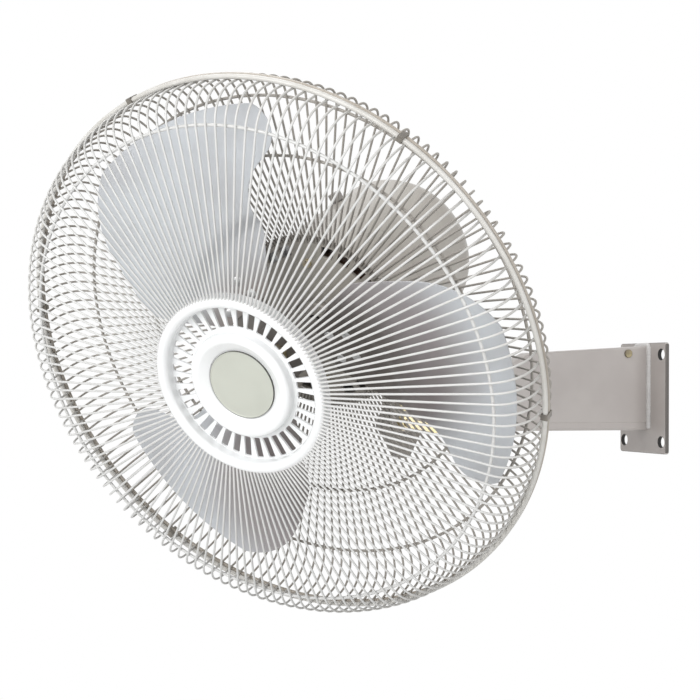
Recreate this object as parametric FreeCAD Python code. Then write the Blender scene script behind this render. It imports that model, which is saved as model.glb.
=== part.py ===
import FreeCAD, Part
import math
import os

# Wall mounted fan with a swinging, tilting head.
# World frame: the wall is the plane y = 0, the fan stands out towards -y, z is up and
# the origin is the middle of the wall plate's back face. Lengths are in mm, angles in degrees.

V = FreeCAD.Vector
ORIGIN = V(0, 0, 0)
X_AXIS = V(1, 0, 0)
Y_AXIS = V(0, 1, 0)
Z_AXIS = V(0, 0, 1)

# ---------------------------------------------------------------- fits
RUN = 0.05            # radial clearance of a pin that turns in its hole
BEARING_RUN = 0.08    # the same between the motor shaft and its bearings
AIR = 0.6             # air between parts that pass each other
BITE = 0.15           # how deep a welded wire sinks into its neighbour

# ---------------------------------------------------------------- stance
TILT = 31.0           # head leaning down about the tilt bolt
SWING = 33.0          # head turned about the swivel pin
ARM_REACH = 323.0     # wall face to tilt bolt
TILT_DROP = 4.0       # tilt bolt below the plate's middle
NECK_RISE = 30.0      # tilt bolt to the motor's swivel boss, along the swivel pin
SWIVEL_BACK = 154.0   # rim plane of the guard to the swivel pin, along the motor axis

# ---------------------------------------------------------------- wall bracket
PLATE_W = 94.0
PLATE_H = 130.0
PLATE_T = 5.0
PLATE_CORNER = 3.5
BOLT_SPAN_X = 76.0
BOLT_SPAN_Z = 102.0
BOLT_HOLE_R = 6.5
ARM_W = 24.0
ARM_SHEET = 2.5
ARM_TOP_WALL = 61.5       # top edge height at the wall
ARM_TOP_KNEE = 51.0       # top edge height where the slope steepens
ARM_KNEE_OUT = 165.0      # distance of that knee from the wall
ARM_SLOPE_OUT = 245.0     # end of the steep slope
ARM_BOTTOM = 38.0         # bottom edge below the plate's middle
ARM_LIP = 5.0             # width of the folded lips along the bottom
ARM_WEB_END = 252.0       # where the folded top stops short of the neck
CHEEK_R = 16.0            # rounded end of the two cheeks round the tilt bolt
EARTH_SCREW_OUT = 33.5    # earth screw from the wall
EARTH_SCREW_Z = 52.0

# ---------------------------------------------------------------- tilt joint and neck
TILT_BOLT_R = 5.0
TILT_HEX = 17.0
TILT_HEAD_T = 6.4
TILT_NUT_T = 8.0
CLAMP_DROP = 24.0         # clamp bolt below the tilt bolt
CLAMP_R = 4.0
CLAMP_HEX = 13.0
CLAMP_HEAD_T = 5.3
CLAMP_WASHER_R = 9.0
SECTOR_LONG = 66.0        # neck's sector below the tilt bolt
SECTOR_TIP_R = 9.0        # rounding of its corners, also its metal outside the slot
SECTOR_DOWN = 18.0        # slot beyond the clamp bolt when the head turns down, degrees
SECTOR_UP = 27.0          # the same when the head turns up
SLOT_AIR = 0.4            # between the clamp bolt and the sides of its slot
WASHER_R = 11.0
WASHER_T = 1.6
EYE_R = 14.0
NUT_R = 8.0
NUT_T = 9.0
LEVER_LONG = 42.0
LEVER_SINK = 10.0         # how far the lever points below level
NECK_DEEP = 22.0
DECK_R = 17.0
DECK_T = 6.0
SPIGOT_R = 11.0
SPIGOT_H = 5.5
SWIVEL_PIN_R = 6.0
THRUST_T = 1.0
BOSS_R = 11.0             # swivel boss under the motor case
BOSS_STEP = 10.0          # its lower face below the case
BOSS_SINK = 13.0          # its upper end inside the case
PIN_HEAD_T = 1.5
STUD_OUT = 26.0           # link stud from the swivel pin
STUD_R = 3.0
LINK_HALF = 4.5
LINK_EYE_R = 7.0
LINK_T = 3.0

# ---------------------------------------------------------------- crank
CRANK_BACK = 78.0         # crank shaft behind the swivel pin
CRANK_THROW = 16.5
CRANK_R = 23.0
CRANK_T = 4.0
CRANK_SHAFT_R = 5.0
LINK_LONG = 80.5

# ---------------------------------------------------------------- guard
RIM_R = 289.2             # centre line of the two rim hoops
RIM_ROD = 5.0
RIM_APART = 5.6
WIRE_D = 2.3
WIRE_COUNT = 150
FRONT_APEX = 85.6         # where the front wires would meet, ahead of the rim plane
FRONT_SLOPE = 0.149
FRONT_BEND = 35.0
FRONT_RING_INSET = 33.8   # front ring inside the rim's centre line
FRONT_RING_ROD = 3.2
REAR_SLOPE = 0.25
REAR_BEND = 33.0
REAR_RING_R = 190.0
REAR_RING_S = -65.0
REAR_RING_INSET = 33.2    # outer rear ring inside the rim's centre line
REAR_RING_ROD = 3.2
WIRE_END_GAP = 1.2        # between the front and rear wires' ends at the rim
CLIP_COUNT = 6
CLIP_T = 1.0
CLIP_SPREAD = 0.5         # share of the pitch between two wires that a clip covers
CLIP_PHASE = 30.0

# ---------------------------------------------------------------- guard plate and its vents
GUARD_PLATE_R = 98.0
GUARD_PLATE_FLAT_R = 90.0
GUARD_PLATE_T = 1.6
GUARD_PLATE_HOLE_R = 26.0
VENT_IN = 76.0
VENT_OUT = 87.0
VENT_GROUPS = 4
VENTS_PER_GROUP = 5
VENT_WIDE = 10.0          # degrees
VENT_PITCH = 13.5         # degrees
GUARD_SCREW_AT = 66.0
SCREW_R = 2.5
SCREW_HEAD_R = 4.8
SCREW_HEAD_T = 2.6

# ---------------------------------------------------------------- hub cap
CAP_R = 95.0
CAP_FRONT = 74.0
CAP_BAND = 12.0           # width of the outer band
CAP_FLOOR = 61.0
CAP_FLOOR_T = 2.2
CAP_SLOTS = 36
CAP_SLOT_IN = 60.0
CAP_SLOT_OUT = 82.0
CAP_SLOT_W = 7.5
CAP_SEAM = 1.0            # between the slots and the boss
CAP_BOSS_R = 55.0
CAP_BOSS_TOP = 71.0
BADGE_R = 36.0
BADGE_FACE = 65.5
BADGE_T = 1.8

# ---------------------------------------------------------------- motor
MOTOR_R = 90.0
SHELL_T = 2.5
FACE_EDGE = 6.0
SHIELD_S = -168.0         # front face of the end shield
SHIELD_T = 7.0
SHIELD_RIM = 4.0
REAR_END = -322.0
DOME_BEND = 40.0
SHAFT_R = 7.5
SHAFT_REAR = -206.0
BEARING_R = 17.5
BEARING_W = 11.0
BEARING_BOSS_R = 23.0
STACK_FRONT = -110.0
STACK_REAR = -136.0
ROTOR_R = 44.4
STATOR_BORE = 45.0
WINDING_IN = 52.0
WINDING_OUT = 74.0
WINDING_LONG = 11.0
END_RING_IN = 26.0
END_RING_OUT = 42.0
END_RING_T = 6.0

# ---------------------------------------------------------------- gear case, capacitor, inlet
CASE_HALF_W = 34.0
CASE_TOP = 34.0
CASE_BOTTOM = 58.0
CASE_REAR = -260.0
CASE_WALL = 4.0
POST_R = 5.0
POST_AT = 28.0
CAPACITOR_R = 14.0
CAPACITOR_LONG = 48.0
GLAND_R = 9.0
GLAND_LONG = 18.0
GLAND_INSET = 52.0        # from the case's side to the gland
GLAND_HOLE_R = 4.5
KNOB_R = 7.5
KNOB_H = 10.0
KNOB_STEM_R = 4.0
KNOB_TRAVEL = 6.0

# ---------------------------------------------------------------- blades
BLADE_COUNT = 3
BLADE_PHASE = 87.6        # first blade's middle line, from the head's +x side
BLADE_TIP_R = 255.0
BLADE_ROOT_R = 58.0
BLADE_T = 1.5
BLADE_MID_S = -14.5       # height of the blade on its middle line
BLADE_WAIST_R = 120.0     # leading edge just past the root
BLADE_LEAD_R = 176.0      # leading edge where it turns forward
BLADE_TRAIL_R = 140.0     # widest place of the trailing edge
BLADE_RISE = 34.4         # rise per radian round the hub
ROOT_RISE = 22.0          # the same at the root
STEP_H = 8.0              # pressed step between the paddle and its root flange
STEP_WIDE = 18.0
STEP_AT = 128.0           # radius of the step on the middle line
STEP_LEAN = 0.7           # how much nearer the hub the step gets, per degree
ROOT_MID = 18.0           # middle of the root flange, degrees from the blade's middle line
HUB_R = 30.0
HUB_FRONT = -8.0
HUB_REAR = -50.0
HUB_LEDGE = 6.0
PAD_IN = 18.0
PAD_OUT = 94.0
PAD_T = 4.0
RIVET_R = 2.5
RIVET_INNER_AT = 66.0     # the two rows of rivets from the shaft
RIVET_OUTER_AT = 84.0
RIVET_HEAD_R = 5.0
RIVET_HEAD_T = 1.6
HUB_NUT_ACROSS = 19.0
HUB_NUT_T = 9.0
NOSE_R = 5.5              # threaded nose of the shaft
NOSE_OUT = 3.0            # how far it stands out of the nut

# ---------------------------------------------------------------- derived places
WIRE_R = WIRE_D / 2
BARREL_R = RIM_R - RIM_ROD / 2 - WIRE_R + BITE
FRONT_RING_R = RIM_R - FRONT_RING_INSET
REAR_OUTER_RING_R = RIM_R - REAR_RING_INSET
WIRE_STEP = 360.0 / WIRE_COUNT
WIRE_PHASE = CLIP_PHASE + WIRE_STEP / 2
BOSS_FACE = MOTOR_R + BOSS_STEP
BOSS_TOP = MOTOR_R - BOSS_SINK
HEAD_RISE = BOSS_FACE + NECK_RISE
GLAND_AT = GLAND_INSET - MOTOR_R
TILT_POINT = V(0, -ARM_REACH, -TILT_DROP)
NECK_PLACE = FreeCAD.Placement(TILT_POINT, FreeCAD.Rotation(X_AXIS, TILT))
HEAD_PLACE = NECK_PLACE * FreeCAD.Placement(V(0, 0, HEAD_RISE), FreeCAD.Rotation(Z_AXIS, SWING))
AXIS_PLACE = HEAD_PLACE * FreeCAD.Placement(V(0, -SWIVEL_BACK, 0), FreeCAD.Rotation(X_AXIS, 90))
WORLD_PLACE = FreeCAD.Placement()


def front_wire_s(radius):
    """Centre line height of a front guard wire at a radius."""
    return FRONT_APEX - FRONT_SLOPE * radius


def rear_wire_s(radius):
    """Centre line height of a rear guard wire at a radius."""
    return REAR_RING_S + REAR_SLOPE * (radius - REAR_RING_R)


GUARD_PLATE_FACE = rear_wire_s(GUARD_PLATE_FLAT_R) - WIRE_R * math.hypot(1, REAR_SLOPE) + BITE
MOTOR_FACE = GUARD_PLATE_FACE - GUARD_PLATE_T
SHELL_IN = MOTOR_R - SHELL_T


# ---------------------------------------------------------------- shape helpers
def disc(radius, low, high, centre=(0, 0)):
    """Round bar along z between two heights."""
    return Part.makeCylinder(radius, high - low, V(centre[0], centre[1], low), Z_AXIS)


def ring(inner, outer, low, high, centre=(0, 0)):
    """Round bar with a hole through it."""
    return disc(outer, low, high, centre).cut(disc(inner, low - 1, high + 1, centre))


def bar_x(radius, low, high, y=0, z=0):
    """Round bar along x."""
    return Part.makeCylinder(radius, high - low, V(low, y, z), X_AXIS)


def box(x0, x1, y0, y1, z0, z1):
    """Block between two corners."""
    return Part.makeBox(x1 - x0, y1 - y0, z1 - z0, V(x0, y0, z0))


def hoop(centre_r, rod_d, height):
    """Round rod bent to a full circle about z."""
    return Part.makeTorus(centre_r, rod_d / 2, V(0, 0, height), Z_AXIS)


def outline(points, place):
    """Closed wire through points; a point given as (a, b, mid_a, mid_b) is reached by an arc."""
    edges = []
    start = points[0][:2]
    here = start
    for entry in points[1:] + [start]:
        there = entry[:2]
        if len(entry) == 4:
            edges.append(Part.Arc(place(*here), place(*entry[2:]), place(*there)).toShape())
        elif math.dist(here, there) > 1e-6:
            edges.append(Part.makeLine(place(*here), place(*there)))
        here = there
    return Part.Wire(edges)


def corner(centre, radius, start_deg, end_deg):
    """Arc entry for outline(), about a centre from one angle to another."""
    mid = math.radians((start_deg + end_deg) / 2)
    end = math.radians(end_deg)
    return (centre[0] + radius * math.cos(end), centre[1] + radius * math.sin(end),
            centre[0] + radius * math.cos(mid), centre[1] + radius * math.sin(mid))


def lathe(points, turn=360.0):
    """Solid turned about z from an outline of (radius, height) points."""
    face = Part.Face(outline(points, lambda r, s: V(r, 0, s)))
    return face.revolve(ORIGIN, Z_AXIS, turn)


def prism_x(points, low, high):
    """Solid drawn along x from an outline of (y, z) points."""
    face = Part.Face(outline(points, lambda y, z: V(low, y, z)))
    return face.extrude(V(high - low, 0, 0))


def prism_z(points, low, high):
    """Solid drawn along z from an outline of (x, y) points."""
    face = Part.Face(outline(points, lambda x, y: V(x, y, low)))
    return face.extrude(V(0, 0, high - low))


def rounded_corners(corners):
    """Outline entries for a polygon whose corners are (x, y, rounding)."""
    entries = []
    count = len(corners)
    for i, (x, y, radius) in enumerate(corners):
        if radius <= 0:
            entries.append((x, y))
            continue
        here = V(x, y, 0)
        before = (V(corners[i - 1][0], corners[i - 1][1], 0) - here).normalize()
        after = (V(corners[(i + 1) % count][0], corners[(i + 1) % count][1], 0) - here).normalize()
        half = before.getAngle(after) / 2
        start = here + before * (radius / math.tan(half))
        end = here + after * (radius / math.tan(half))
        inward = (before + after).normalize()
        middle = here + inward * (radius / math.sin(half) - radius)
        entries.append((start.x, start.y))
        entries.append((end.x, end.y, middle.x, middle.y))
    return entries


def hexagon(across, low, high):
    """Six-sided bar along z."""
    reach = across / math.sqrt(3)
    points = [(reach * math.cos(math.radians(60 * i)), reach * math.sin(math.radians(60 * i)))
              for i in range(6)]
    return prism_z(points, low, high)


def turned(shape, angle, axis=Z_AXIS):
    """Copy turned about an axis through the origin."""
    copy = shape.copy()
    copy.rotate(ORIGIN, axis, angle)
    return copy


def around(shape, count, phase=0.0):
    """Evenly spaced copies about z."""
    return [turned(shape, phase + 360.0 * i / count) for i in range(count)]


def along_x(shape):
    """Shape built along z laid down along x."""
    return turned(shape, 90, Y_AXIS)


def bent_wire(start, bend_at, end, bend_r, rod_r):
    """Round wire in the xz plane: straight, one tangent bend, straight."""
    a, b, c = V(start[0], 0, start[1]), V(bend_at[0], 0, bend_at[1]), V(end[0], 0, end[1])
    d_in = (b - a).normalize()
    d_out = (c - b).normalize()
    turn = math.degrees(d_in.getAngle(d_out))
    reach = bend_r * math.tan(math.radians(turn / 2))
    t_in = b - d_in * reach
    t_out = b + d_out * reach
    hinge = d_in.cross(d_out).normalize()
    centre = t_in + hinge.cross(d_in).normalize() * bend_r
    first = Part.makeCylinder(rod_r, (t_in - a).Length, a, d_in)
    section = Part.Face(Part.Wire(Part.makeCircle(rod_r, t_in, d_in)))
    bend = section.revolve(centre, hinge, turn)
    last = Part.makeCylinder(rod_r, (c - t_out).Length, t_out, d_out)
    return first.fuse([bend, last]).removeSplitter()


def save(name, shape, place):
    """Put a node in its place in the world frame and write it out."""
    placed = shape.copy()
    placed.Placement = place * placed.Placement
    placed.exportStep("parts/%s.step" % name)


def group(shapes):
    """Several solids of one node."""
    return Part.makeCompound(shapes)


# ---------------------------------------------------------------- wall bracket (world frame)
def make_wall_plate():
    corners = [(sx * PLATE_W / 2, sz * PLATE_H / 2, PLATE_CORNER)
               for sx, sz in ((1, -1), (1, 1), (-1, 1), (-1, -1))]
    plate = prism_z(rounded_corners(corners), 0, PLATE_T)
    for sx in (-1, 1):
        for sz in (-1, 1):
            plate = plate.cut(disc(BOLT_HOLE_R, -1, PLATE_T + 1, (sx * BOLT_SPAN_X / 2, sz * BOLT_SPAN_Z / 2)))
    return turned(plate, 90, X_AXIS)


def arm_side(low, high):
    """Side outline of the arm drawn from one x to another."""
    tip = (-ARM_REACH, -TILT_DROP)
    toe = CHEEK_R * 0.75
    points = [(-PLATE_T, -ARM_BOTTOM), (-PLATE_T, ARM_TOP_WALL), (-ARM_KNEE_OUT, ARM_TOP_KNEE),
              (-ARM_SLOPE_OUT, tip[1] + CHEEK_R), (tip[0], tip[1] + CHEEK_R),
              corner(tip, CHEEK_R, 90, 180), (tip[0] - CHEEK_R, -ARM_BOTTOM + toe),
              corner((tip[0] - CHEEK_R + toe, -ARM_BOTTOM + toe), toe, 180, 270)]
    return prism_x(points, low, high)


def make_wall_arm():
    half = ARM_W / 2
    inner = half - ARM_SHEET
    arm = arm_side(-half, half)
    hollow = [(-PLATE_T + 1, -ARM_BOTTOM + ARM_SHEET), (-PLATE_T + 1, ARM_TOP_WALL - ARM_SHEET),
              (-ARM_KNEE_OUT, ARM_TOP_KNEE - ARM_SHEET * 1.02),
              (-ARM_SLOPE_OUT + 2, -TILT_DROP + CHEEK_R - ARM_SHEET * 1.02),
              (-ARM_REACH - 2 * CHEEK_R, -TILT_DROP + CHEEK_R - ARM_SHEET * 1.02),
              (-ARM_REACH - 2 * CHEEK_R, -ARM_BOTTOM + ARM_SHEET)]
    arm = arm.cut(prism_x(hollow, -inner, inner))
    lip_gap = inner - ARM_LIP
    arm = arm.cut(box(-lip_gap, lip_gap, -ARM_REACH - 2 * CHEEK_R, -PLATE_T + 1,
                      -ARM_BOTTOM - 1, -ARM_BOTTOM + ARM_SHEET + 1))
    arm = arm.cut(box(-inner, inner, -ARM_REACH - 2 * CHEEK_R, -ARM_WEB_END,
                      -ARM_BOTTOM - 1, ARM_TOP_WALL))
    bore = bar_x(TILT_BOLT_R, -half - 1, half + 1, -ARM_REACH, -TILT_DROP)
    clamp_bore = bar_x(CLAMP_R, -half - 1, half + 1, -ARM_REACH, -TILT_DROP - CLAMP_DROP)
    screw_hole = bar_x(SCREW_R, inner - 1, half + 1, -EARTH_SCREW_OUT, EARTH_SCREW_Z)
    return arm.cut([bore, clamp_bore, screw_hole])


def cross_bolt(radius, across, head_t, nut_t):
    """Bolt through both cheeks with its hexagon head on the -x side."""
    seat = ARM_W / 2 + WASHER_T
    shank = disc(radius, -seat, seat + nut_t + 3)
    head = hexagon(across, -seat - head_t, -seat)
    return along_x(shank.fuse(head))


def cross_washers(bore, outer):
    half = ARM_W / 2
    return group([along_x(ring(bore + RUN, outer, side, side + WASHER_T))
                  for side in (-half - WASHER_T, half)])


def make_tilt_bolt():
    return cross_bolt(TILT_BOLT_R, TILT_HEX, TILT_HEAD_T, TILT_NUT_T)


def make_tilt_nut():
    seat = ARM_W / 2 + WASHER_T
    nut = hexagon(TILT_HEX, seat, seat + TILT_NUT_T)
    return along_x(nut.cut(disc(TILT_BOLT_R, seat - 1, seat + TILT_NUT_T + 1)))


def make_clamp_bolt():
    return cross_bolt(CLAMP_R, CLAMP_HEX, CLAMP_HEAD_T, NUT_T)


def make_earth_screw():
    half = ARM_W / 2
    head = bar_x(SCREW_HEAD_R, half, half + SCREW_HEAD_T)
    shank = bar_x(SCREW_R, half - ARM_SHEET - 3, half + 0.5)
    slot = box(half + SCREW_HEAD_T - 1, half + SCREW_HEAD_T + 1, -SCREW_HEAD_R - 1, SCREW_HEAD_R + 1, -0.5, 0.5)
    screw = head.fuse(shank).cut(slot)
    screw.translate(V(0, -EARTH_SCREW_OUT, EARTH_SCREW_Z))
    return screw


def make_tilt_lever():
    """Clamp nut with a flat lever, on the +x end of the clamp bolt."""
    seat = ARM_W / 2 + WASHER_T
    nut = disc(NUT_R, seat, seat + NUT_T)
    blade_low = seat + NUT_T - 4
    lever = prism_z([(0, -5), (LEVER_LONG - 6, -5), corner((LEVER_LONG - 6, 0), 5, -90, 90), (0, 5)],
                    blade_low, blade_low + 4)
    clamp = nut.fuse(lever).cut(disc(CLAMP_R + RUN, seat - 1, seat + NUT_T + 1))
    clamp = along_x(turned(clamp, 90))
    return turned(clamp, -LEVER_SINK, X_AXIS)


# ---------------------------------------------------------------- neck (neck frame: tilt bolt at 0, swivel up z)
DECK_TOP = HEAD_RISE - BOSS_FACE - THRUST_T - SPIGOT_H
SPIGOT_TOP = DECK_TOP + SPIGOT_H


def below(radius, angle):
    """Point (y, z) of the neck at an angle from straight down in the fan's stance, towards the wall."""
    turn = math.radians(-90 - TILT + angle)
    return (radius * math.cos(turn), radius * math.sin(turn))


def make_sector():
    """Tapered foot of the neck, with the curved slot that the clamp bolt passes."""
    half = ARM_W / 2 - ARM_SHEET - 0.2
    centre = SECTOR_LONG - SECTOR_TIP_R
    side = CLAMP_DROP + CLAMP_R + SECTOR_TIP_R
    corners = [below(EYE_R, -80) + (0,), below(side, -SECTOR_DOWN - 26) + (SECTOR_TIP_R,),
               below(SECTOR_LONG + 6, 3) + (SECTOR_TIP_R,), below(side, SECTOR_UP + 24) + (SECTOR_TIP_R,),
               below(EYE_R, 100) + (0,)]
    plate = prism_x(rounded_corners(corners), -half, half)
    inner = CLAMP_DROP - CLAMP_R - SLOT_AIR
    outer = CLAMP_DROP + CLAMP_R + SLOT_AIR
    middle = (SECTOR_UP - SECTOR_DOWN) / 2
    sweep = prism_x([below(inner, -SECTOR_DOWN), below(inner, SECTOR_UP) + below(inner, middle),
                     below(outer, SECTOR_UP), below(outer, -SECTOR_DOWN) + below(outer, middle)],
                    -half - 1, half + 1)
    ends = [bar_x(CLAMP_R + SLOT_AIR, -half - 1, half + 1, *below(CLAMP_DROP, angle))
            for angle in (-SECTOR_DOWN, SECTOR_UP)]
    return plate.cut([sweep] + ends)


def make_neck():
    half = ARM_W / 2 - ARM_SHEET - 0.2
    eye = bar_x(EYE_R, -half, half)
    web = box(-half, half, -NECK_DEEP / 2, NECK_DEEP / 2, 0, DECK_TOP - 1)
    deck = disc(DECK_R, DECK_TOP - DECK_T, DECK_TOP)
    lug = prism_z([(0, -8), (0, 8), (-STUD_OUT, LINK_EYE_R),
                   corner((-STUD_OUT, 0), LINK_EYE_R, 90, 270)], DECK_TOP - DECK_T, DECK_TOP)
    spigot = disc(SPIGOT_R, DECK_TOP - 1, SPIGOT_TOP)
    neck = eye.fuse([web, deck, lug, spigot, make_sector()]).removeSplitter()
    neck = neck.cut(bar_x(TILT_BOLT_R + RUN, -half - 1, half + 1))
    neck = neck.cut(disc(SWIVEL_PIN_R, DECK_TOP - DECK_T - 2, SPIGOT_TOP + 1))
    return neck.cut(disc(STUD_R, DECK_TOP - DECK_T - 1, DECK_TOP + 1, (-STUD_OUT, 0)))


def make_swivel_pin():
    low = DECK_TOP - DECK_T - 2
    high = HEAD_RISE - BOSS_TOP - PIN_HEAD_T - AIR
    return disc(SWIVEL_PIN_R, low, high)


def make_thrust_washer():
    return ring(SWIVEL_PIN_R + RUN, SPIGOT_R, SPIGOT_TOP, SPIGOT_TOP + THRUST_T)


LINK_LOW = DECK_TOP + 0.5
LINK_HIGH = LINK_LOW + LINK_T


def make_link_stud():
    """Headed stud through the lug, with the link turning on it."""
    shank = disc(STUD_R, DECK_TOP - DECK_T, LINK_HIGH + 0.5, (-STUD_OUT, 0))
    foot = disc(STUD_R + 2, DECK_TOP - DECK_T - 2, DECK_TOP - DECK_T, (-STUD_OUT, 0))
    return shank.fuse(foot)


# ---------------------------------------------------------------- link and crank
def link_heading():
    """Angle of the link in the neck frame, from its stud towards the crank pin."""
    swing = math.radians(SWING)
    crank = (-CRANK_BACK * math.sin(swing), CRANK_BACK * math.cos(swing))
    dx = crank[0] + STUD_OUT
    dy = crank[1]
    span = math.hypot(dx, dy)
    inner = (LINK_LONG ** 2 + span ** 2 - CRANK_THROW ** 2) / (2 * LINK_LONG * span)
    return math.degrees(math.atan2(dy, dx) + math.acos(inner))


def make_link():
    """Flat bar from the neck's stud to the crank, with its crank pin standing up."""
    bar = box(0, LINK_LONG, -LINK_HALF, LINK_HALF, LINK_LOW, LINK_HIGH)
    eyes = [disc(LINK_EYE_R, LINK_LOW, LINK_HIGH), disc(LINK_EYE_R, LINK_LOW, LINK_HIGH, (LINK_LONG, 0))]
    pin = disc(STUD_R, LINK_LOW, HEAD_RISE - BOSS_FACE - 0.4, (LINK_LONG, 0))
    link = bar.fuse(eyes + [pin]).removeSplitter()
    link = link.cut(disc(STUD_R + RUN, LINK_LOW - 1, LINK_HIGH + 1))
    link = turned(link, link_heading())
    link.translate(V(-STUD_OUT, 0, 0))
    return link


def make_crank():
    """Crank disc under the motor with its shaft up into the gear case (head frame)."""
    face = disc(CRANK_R, -BOSS_FACE, -BOSS_FACE + CRANK_T)
    shaft = disc(CRANK_SHAFT_R, -BOSS_FACE, -CASE_BOTTOM + CASE_WALL + 8)
    crank = face.fuse(shaft).removeSplitter()
    crank.translate(V(0, CRANK_BACK, 0))
    return crank


# ---------------------------------------------------------------- guard (axis frame: rim plane at 0, front up z)
def make_front_wires():
    inner = CAP_R - CAP_BAND + 5
    corner_s = front_wire_s(BARREL_R)
    wire = bent_wire((inner, front_wire_s(inner)), (BARREL_R, corner_s), (BARREL_R, WIRE_END_GAP / 2),
                     FRONT_BEND, WIRE_R)
    return group(around(wire, WIRE_COUNT, WIRE_PHASE))


def make_rear_wires():
    inner = GUARD_PLATE_FLAT_R + 0.5
    corner_s = rear_wire_s(BARREL_R)
    wire = bent_wire((inner, rear_wire_s(inner)), (BARREL_R, corner_s), (BARREL_R, -WIRE_END_GAP / 2),
                     REAR_BEND, WIRE_R)
    return group(around(wire, WIRE_COUNT, WIRE_PHASE))


def ring_behind(radius, rod_d, slope, wire_s, side):
    """Hoop touching the wires from behind (-1) or from the front (+1)."""
    lift = (WIRE_R + rod_d / 2 - BITE) * math.hypot(1, slope)
    return hoop(radius, rod_d, wire_s + side * lift)


def make_front_ring():
    return ring_behind(FRONT_RING_R, FRONT_RING_ROD, FRONT_SLOPE, front_wire_s(FRONT_RING_R), -1)


def make_rear_rings():
    return group([ring_behind(r, REAR_RING_ROD, REAR_SLOPE, rear_wire_s(r), -1)
                  for r in (REAR_RING_R, REAR_OUTER_RING_R)])


def make_rim_hoop(side):
    return hoop(RIM_R, RIM_ROD, side * RIM_APART / 2)


def make_rim_clips():
    outer = RIM_R + RIM_ROD / 2
    half = RIM_APART / 2 + RIM_ROD / 2
    inner = RIM_R - RIM_ROD / 2
    points = [(outer, -half), (outer, half), (inner, half), (inner, half - RIM_ROD * 0.6),
              (inner - CLIP_T, half - RIM_ROD * 0.6), (inner - CLIP_T, half + CLIP_T),
              (outer + CLIP_T, half + CLIP_T), (outer + CLIP_T, -half - CLIP_T),
              (inner - CLIP_T, -half - CLIP_T), (inner - CLIP_T, -half + RIM_ROD * 0.6),
              (inner, -half + RIM_ROD * 0.6), (inner, -half)]
    spread = WIRE_STEP * CLIP_SPREAD
    clip = turned(lathe(points, spread), -spread / 2)
    return group(around(clip, CLIP_COUNT, CLIP_PHASE))


def vent_tools(low, high):
    """Cutters for the groups of vents round the motor's face."""
    tool = lathe([(VENT_IN, low), (VENT_OUT, low), (VENT_OUT, high), (VENT_IN, high)], VENT_WIDE)
    spread = VENT_PITCH * (VENTS_PER_GROUP - 1) / 2
    tools = []
    for k in range(VENT_GROUPS):
        middle = 360.0 * k / VENT_GROUPS + 90.0 / VENT_GROUPS
        for i in range(VENTS_PER_GROUP):
            tools.append(turned(tool, middle - spread + VENT_PITCH * i - VENT_WIDE / 2))
    return tools


def screw_angles():
    """Angles of the guard screws, between the groups of vents."""
    return [360.0 * k / VENT_GROUPS + 90.0 / VENT_GROUPS + 180.0 / VENT_GROUPS for k in range(VENT_GROUPS)]


def make_guard_plate():
    rise = REAR_SLOPE * (GUARD_PLATE_R - GUARD_PLATE_FLAT_R)
    face = GUARD_PLATE_FACE
    back = face - GUARD_PLATE_T
    plate = lathe([(GUARD_PLATE_HOLE_R, back), (GUARD_PLATE_FLAT_R, back), (GUARD_PLATE_R, back + rise),
                   (GUARD_PLATE_R, face + rise), (GUARD_PLATE_FLAT_R, face), (GUARD_PLATE_HOLE_R, face)])
    hole = disc(SCREW_R, back - 1, face + 1, (GUARD_SCREW_AT, 0))
    return plate.cut(vent_tools(back - 1, face + 1) + [turned(hole, a) for a in screw_angles()])


def make_guard_screws():
    face = GUARD_PLATE_FACE
    shank = disc(SCREW_R, MOTOR_FACE - SHELL_T - 3, face, (GUARD_SCREW_AT, 0))
    head = disc(SCREW_HEAD_R, face, face + SCREW_HEAD_T, (GUARD_SCREW_AT, 0))
    cross = [box(GUARD_SCREW_AT - 3, GUARD_SCREW_AT + 3, -0.5, 0.5, face + SCREW_HEAD_T - 1.2, face + 9),
             box(GUARD_SCREW_AT - 0.5, GUARD_SCREW_AT + 0.5, -3, 3, face + SCREW_HEAD_T - 1.2, face + 9)]
    screw = head.fuse(shank).cut(cross)
    return group([turned(screw, a) for a in screw_angles()])


# ---------------------------------------------------------------- hub cap
def make_cap_band():
    """Rounded outer band of the cap, in which the front wires end."""
    inner = CAP_R - CAP_BAND
    band_round = CAP_BAND / 2
    back = CAP_FLOOR - CAP_FLOOR_T
    top = CAP_FRONT - band_round
    return lathe([(inner, back), (CAP_R - 1, back), (CAP_R, back + 1), (CAP_R, top),
                  (inner, top, CAP_R - band_round, CAP_FRONT)])


def make_cap_grille():
    """Slotted floor between the cap's band and its boss."""
    back = CAP_FLOOR - CAP_FLOOR_T
    floor = ring(CAP_SLOT_IN - CAP_SEAM, CAP_R - CAP_BAND, back, CAP_FLOOR)
    slot = box(CAP_SLOT_IN, CAP_SLOT_OUT, -CAP_SLOT_W / 2, CAP_SLOT_W / 2, back - 1, CAP_FLOOR + 1)
    return floor.cut(around(slot, CAP_SLOTS))


def make_hub_cap():
    """Dished boss in the middle of the cap, with the seat for the badge."""
    back = CAP_FLOOR - CAP_FLOOR_T
    foot = CAP_SLOT_IN - CAP_SEAM
    dish_r = BADGE_R + 1
    seat = BADGE_FACE - BADGE_T
    crown = (CAP_BOSS_R + dish_r) / 2 + 3
    return lathe([(0, back), (foot, back), (foot, CAP_FLOOR), (CAP_BOSS_R, CAP_BOSS_TOP - 4),
                  (crown, CAP_BOSS_TOP, CAP_BOSS_R - 1.2, CAP_BOSS_TOP - 1.2),
                  (dish_r, seat + 0.6), (dish_r, seat), (0, seat)])


def make_badge():
    seat = BADGE_FACE - BADGE_T
    return lathe([(0, seat), (BADGE_R, seat), (BADGE_R, BADGE_FACE - 0.6), (BADGE_R - 0.6, BADGE_FACE),
                  (0, BADGE_FACE)])


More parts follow.
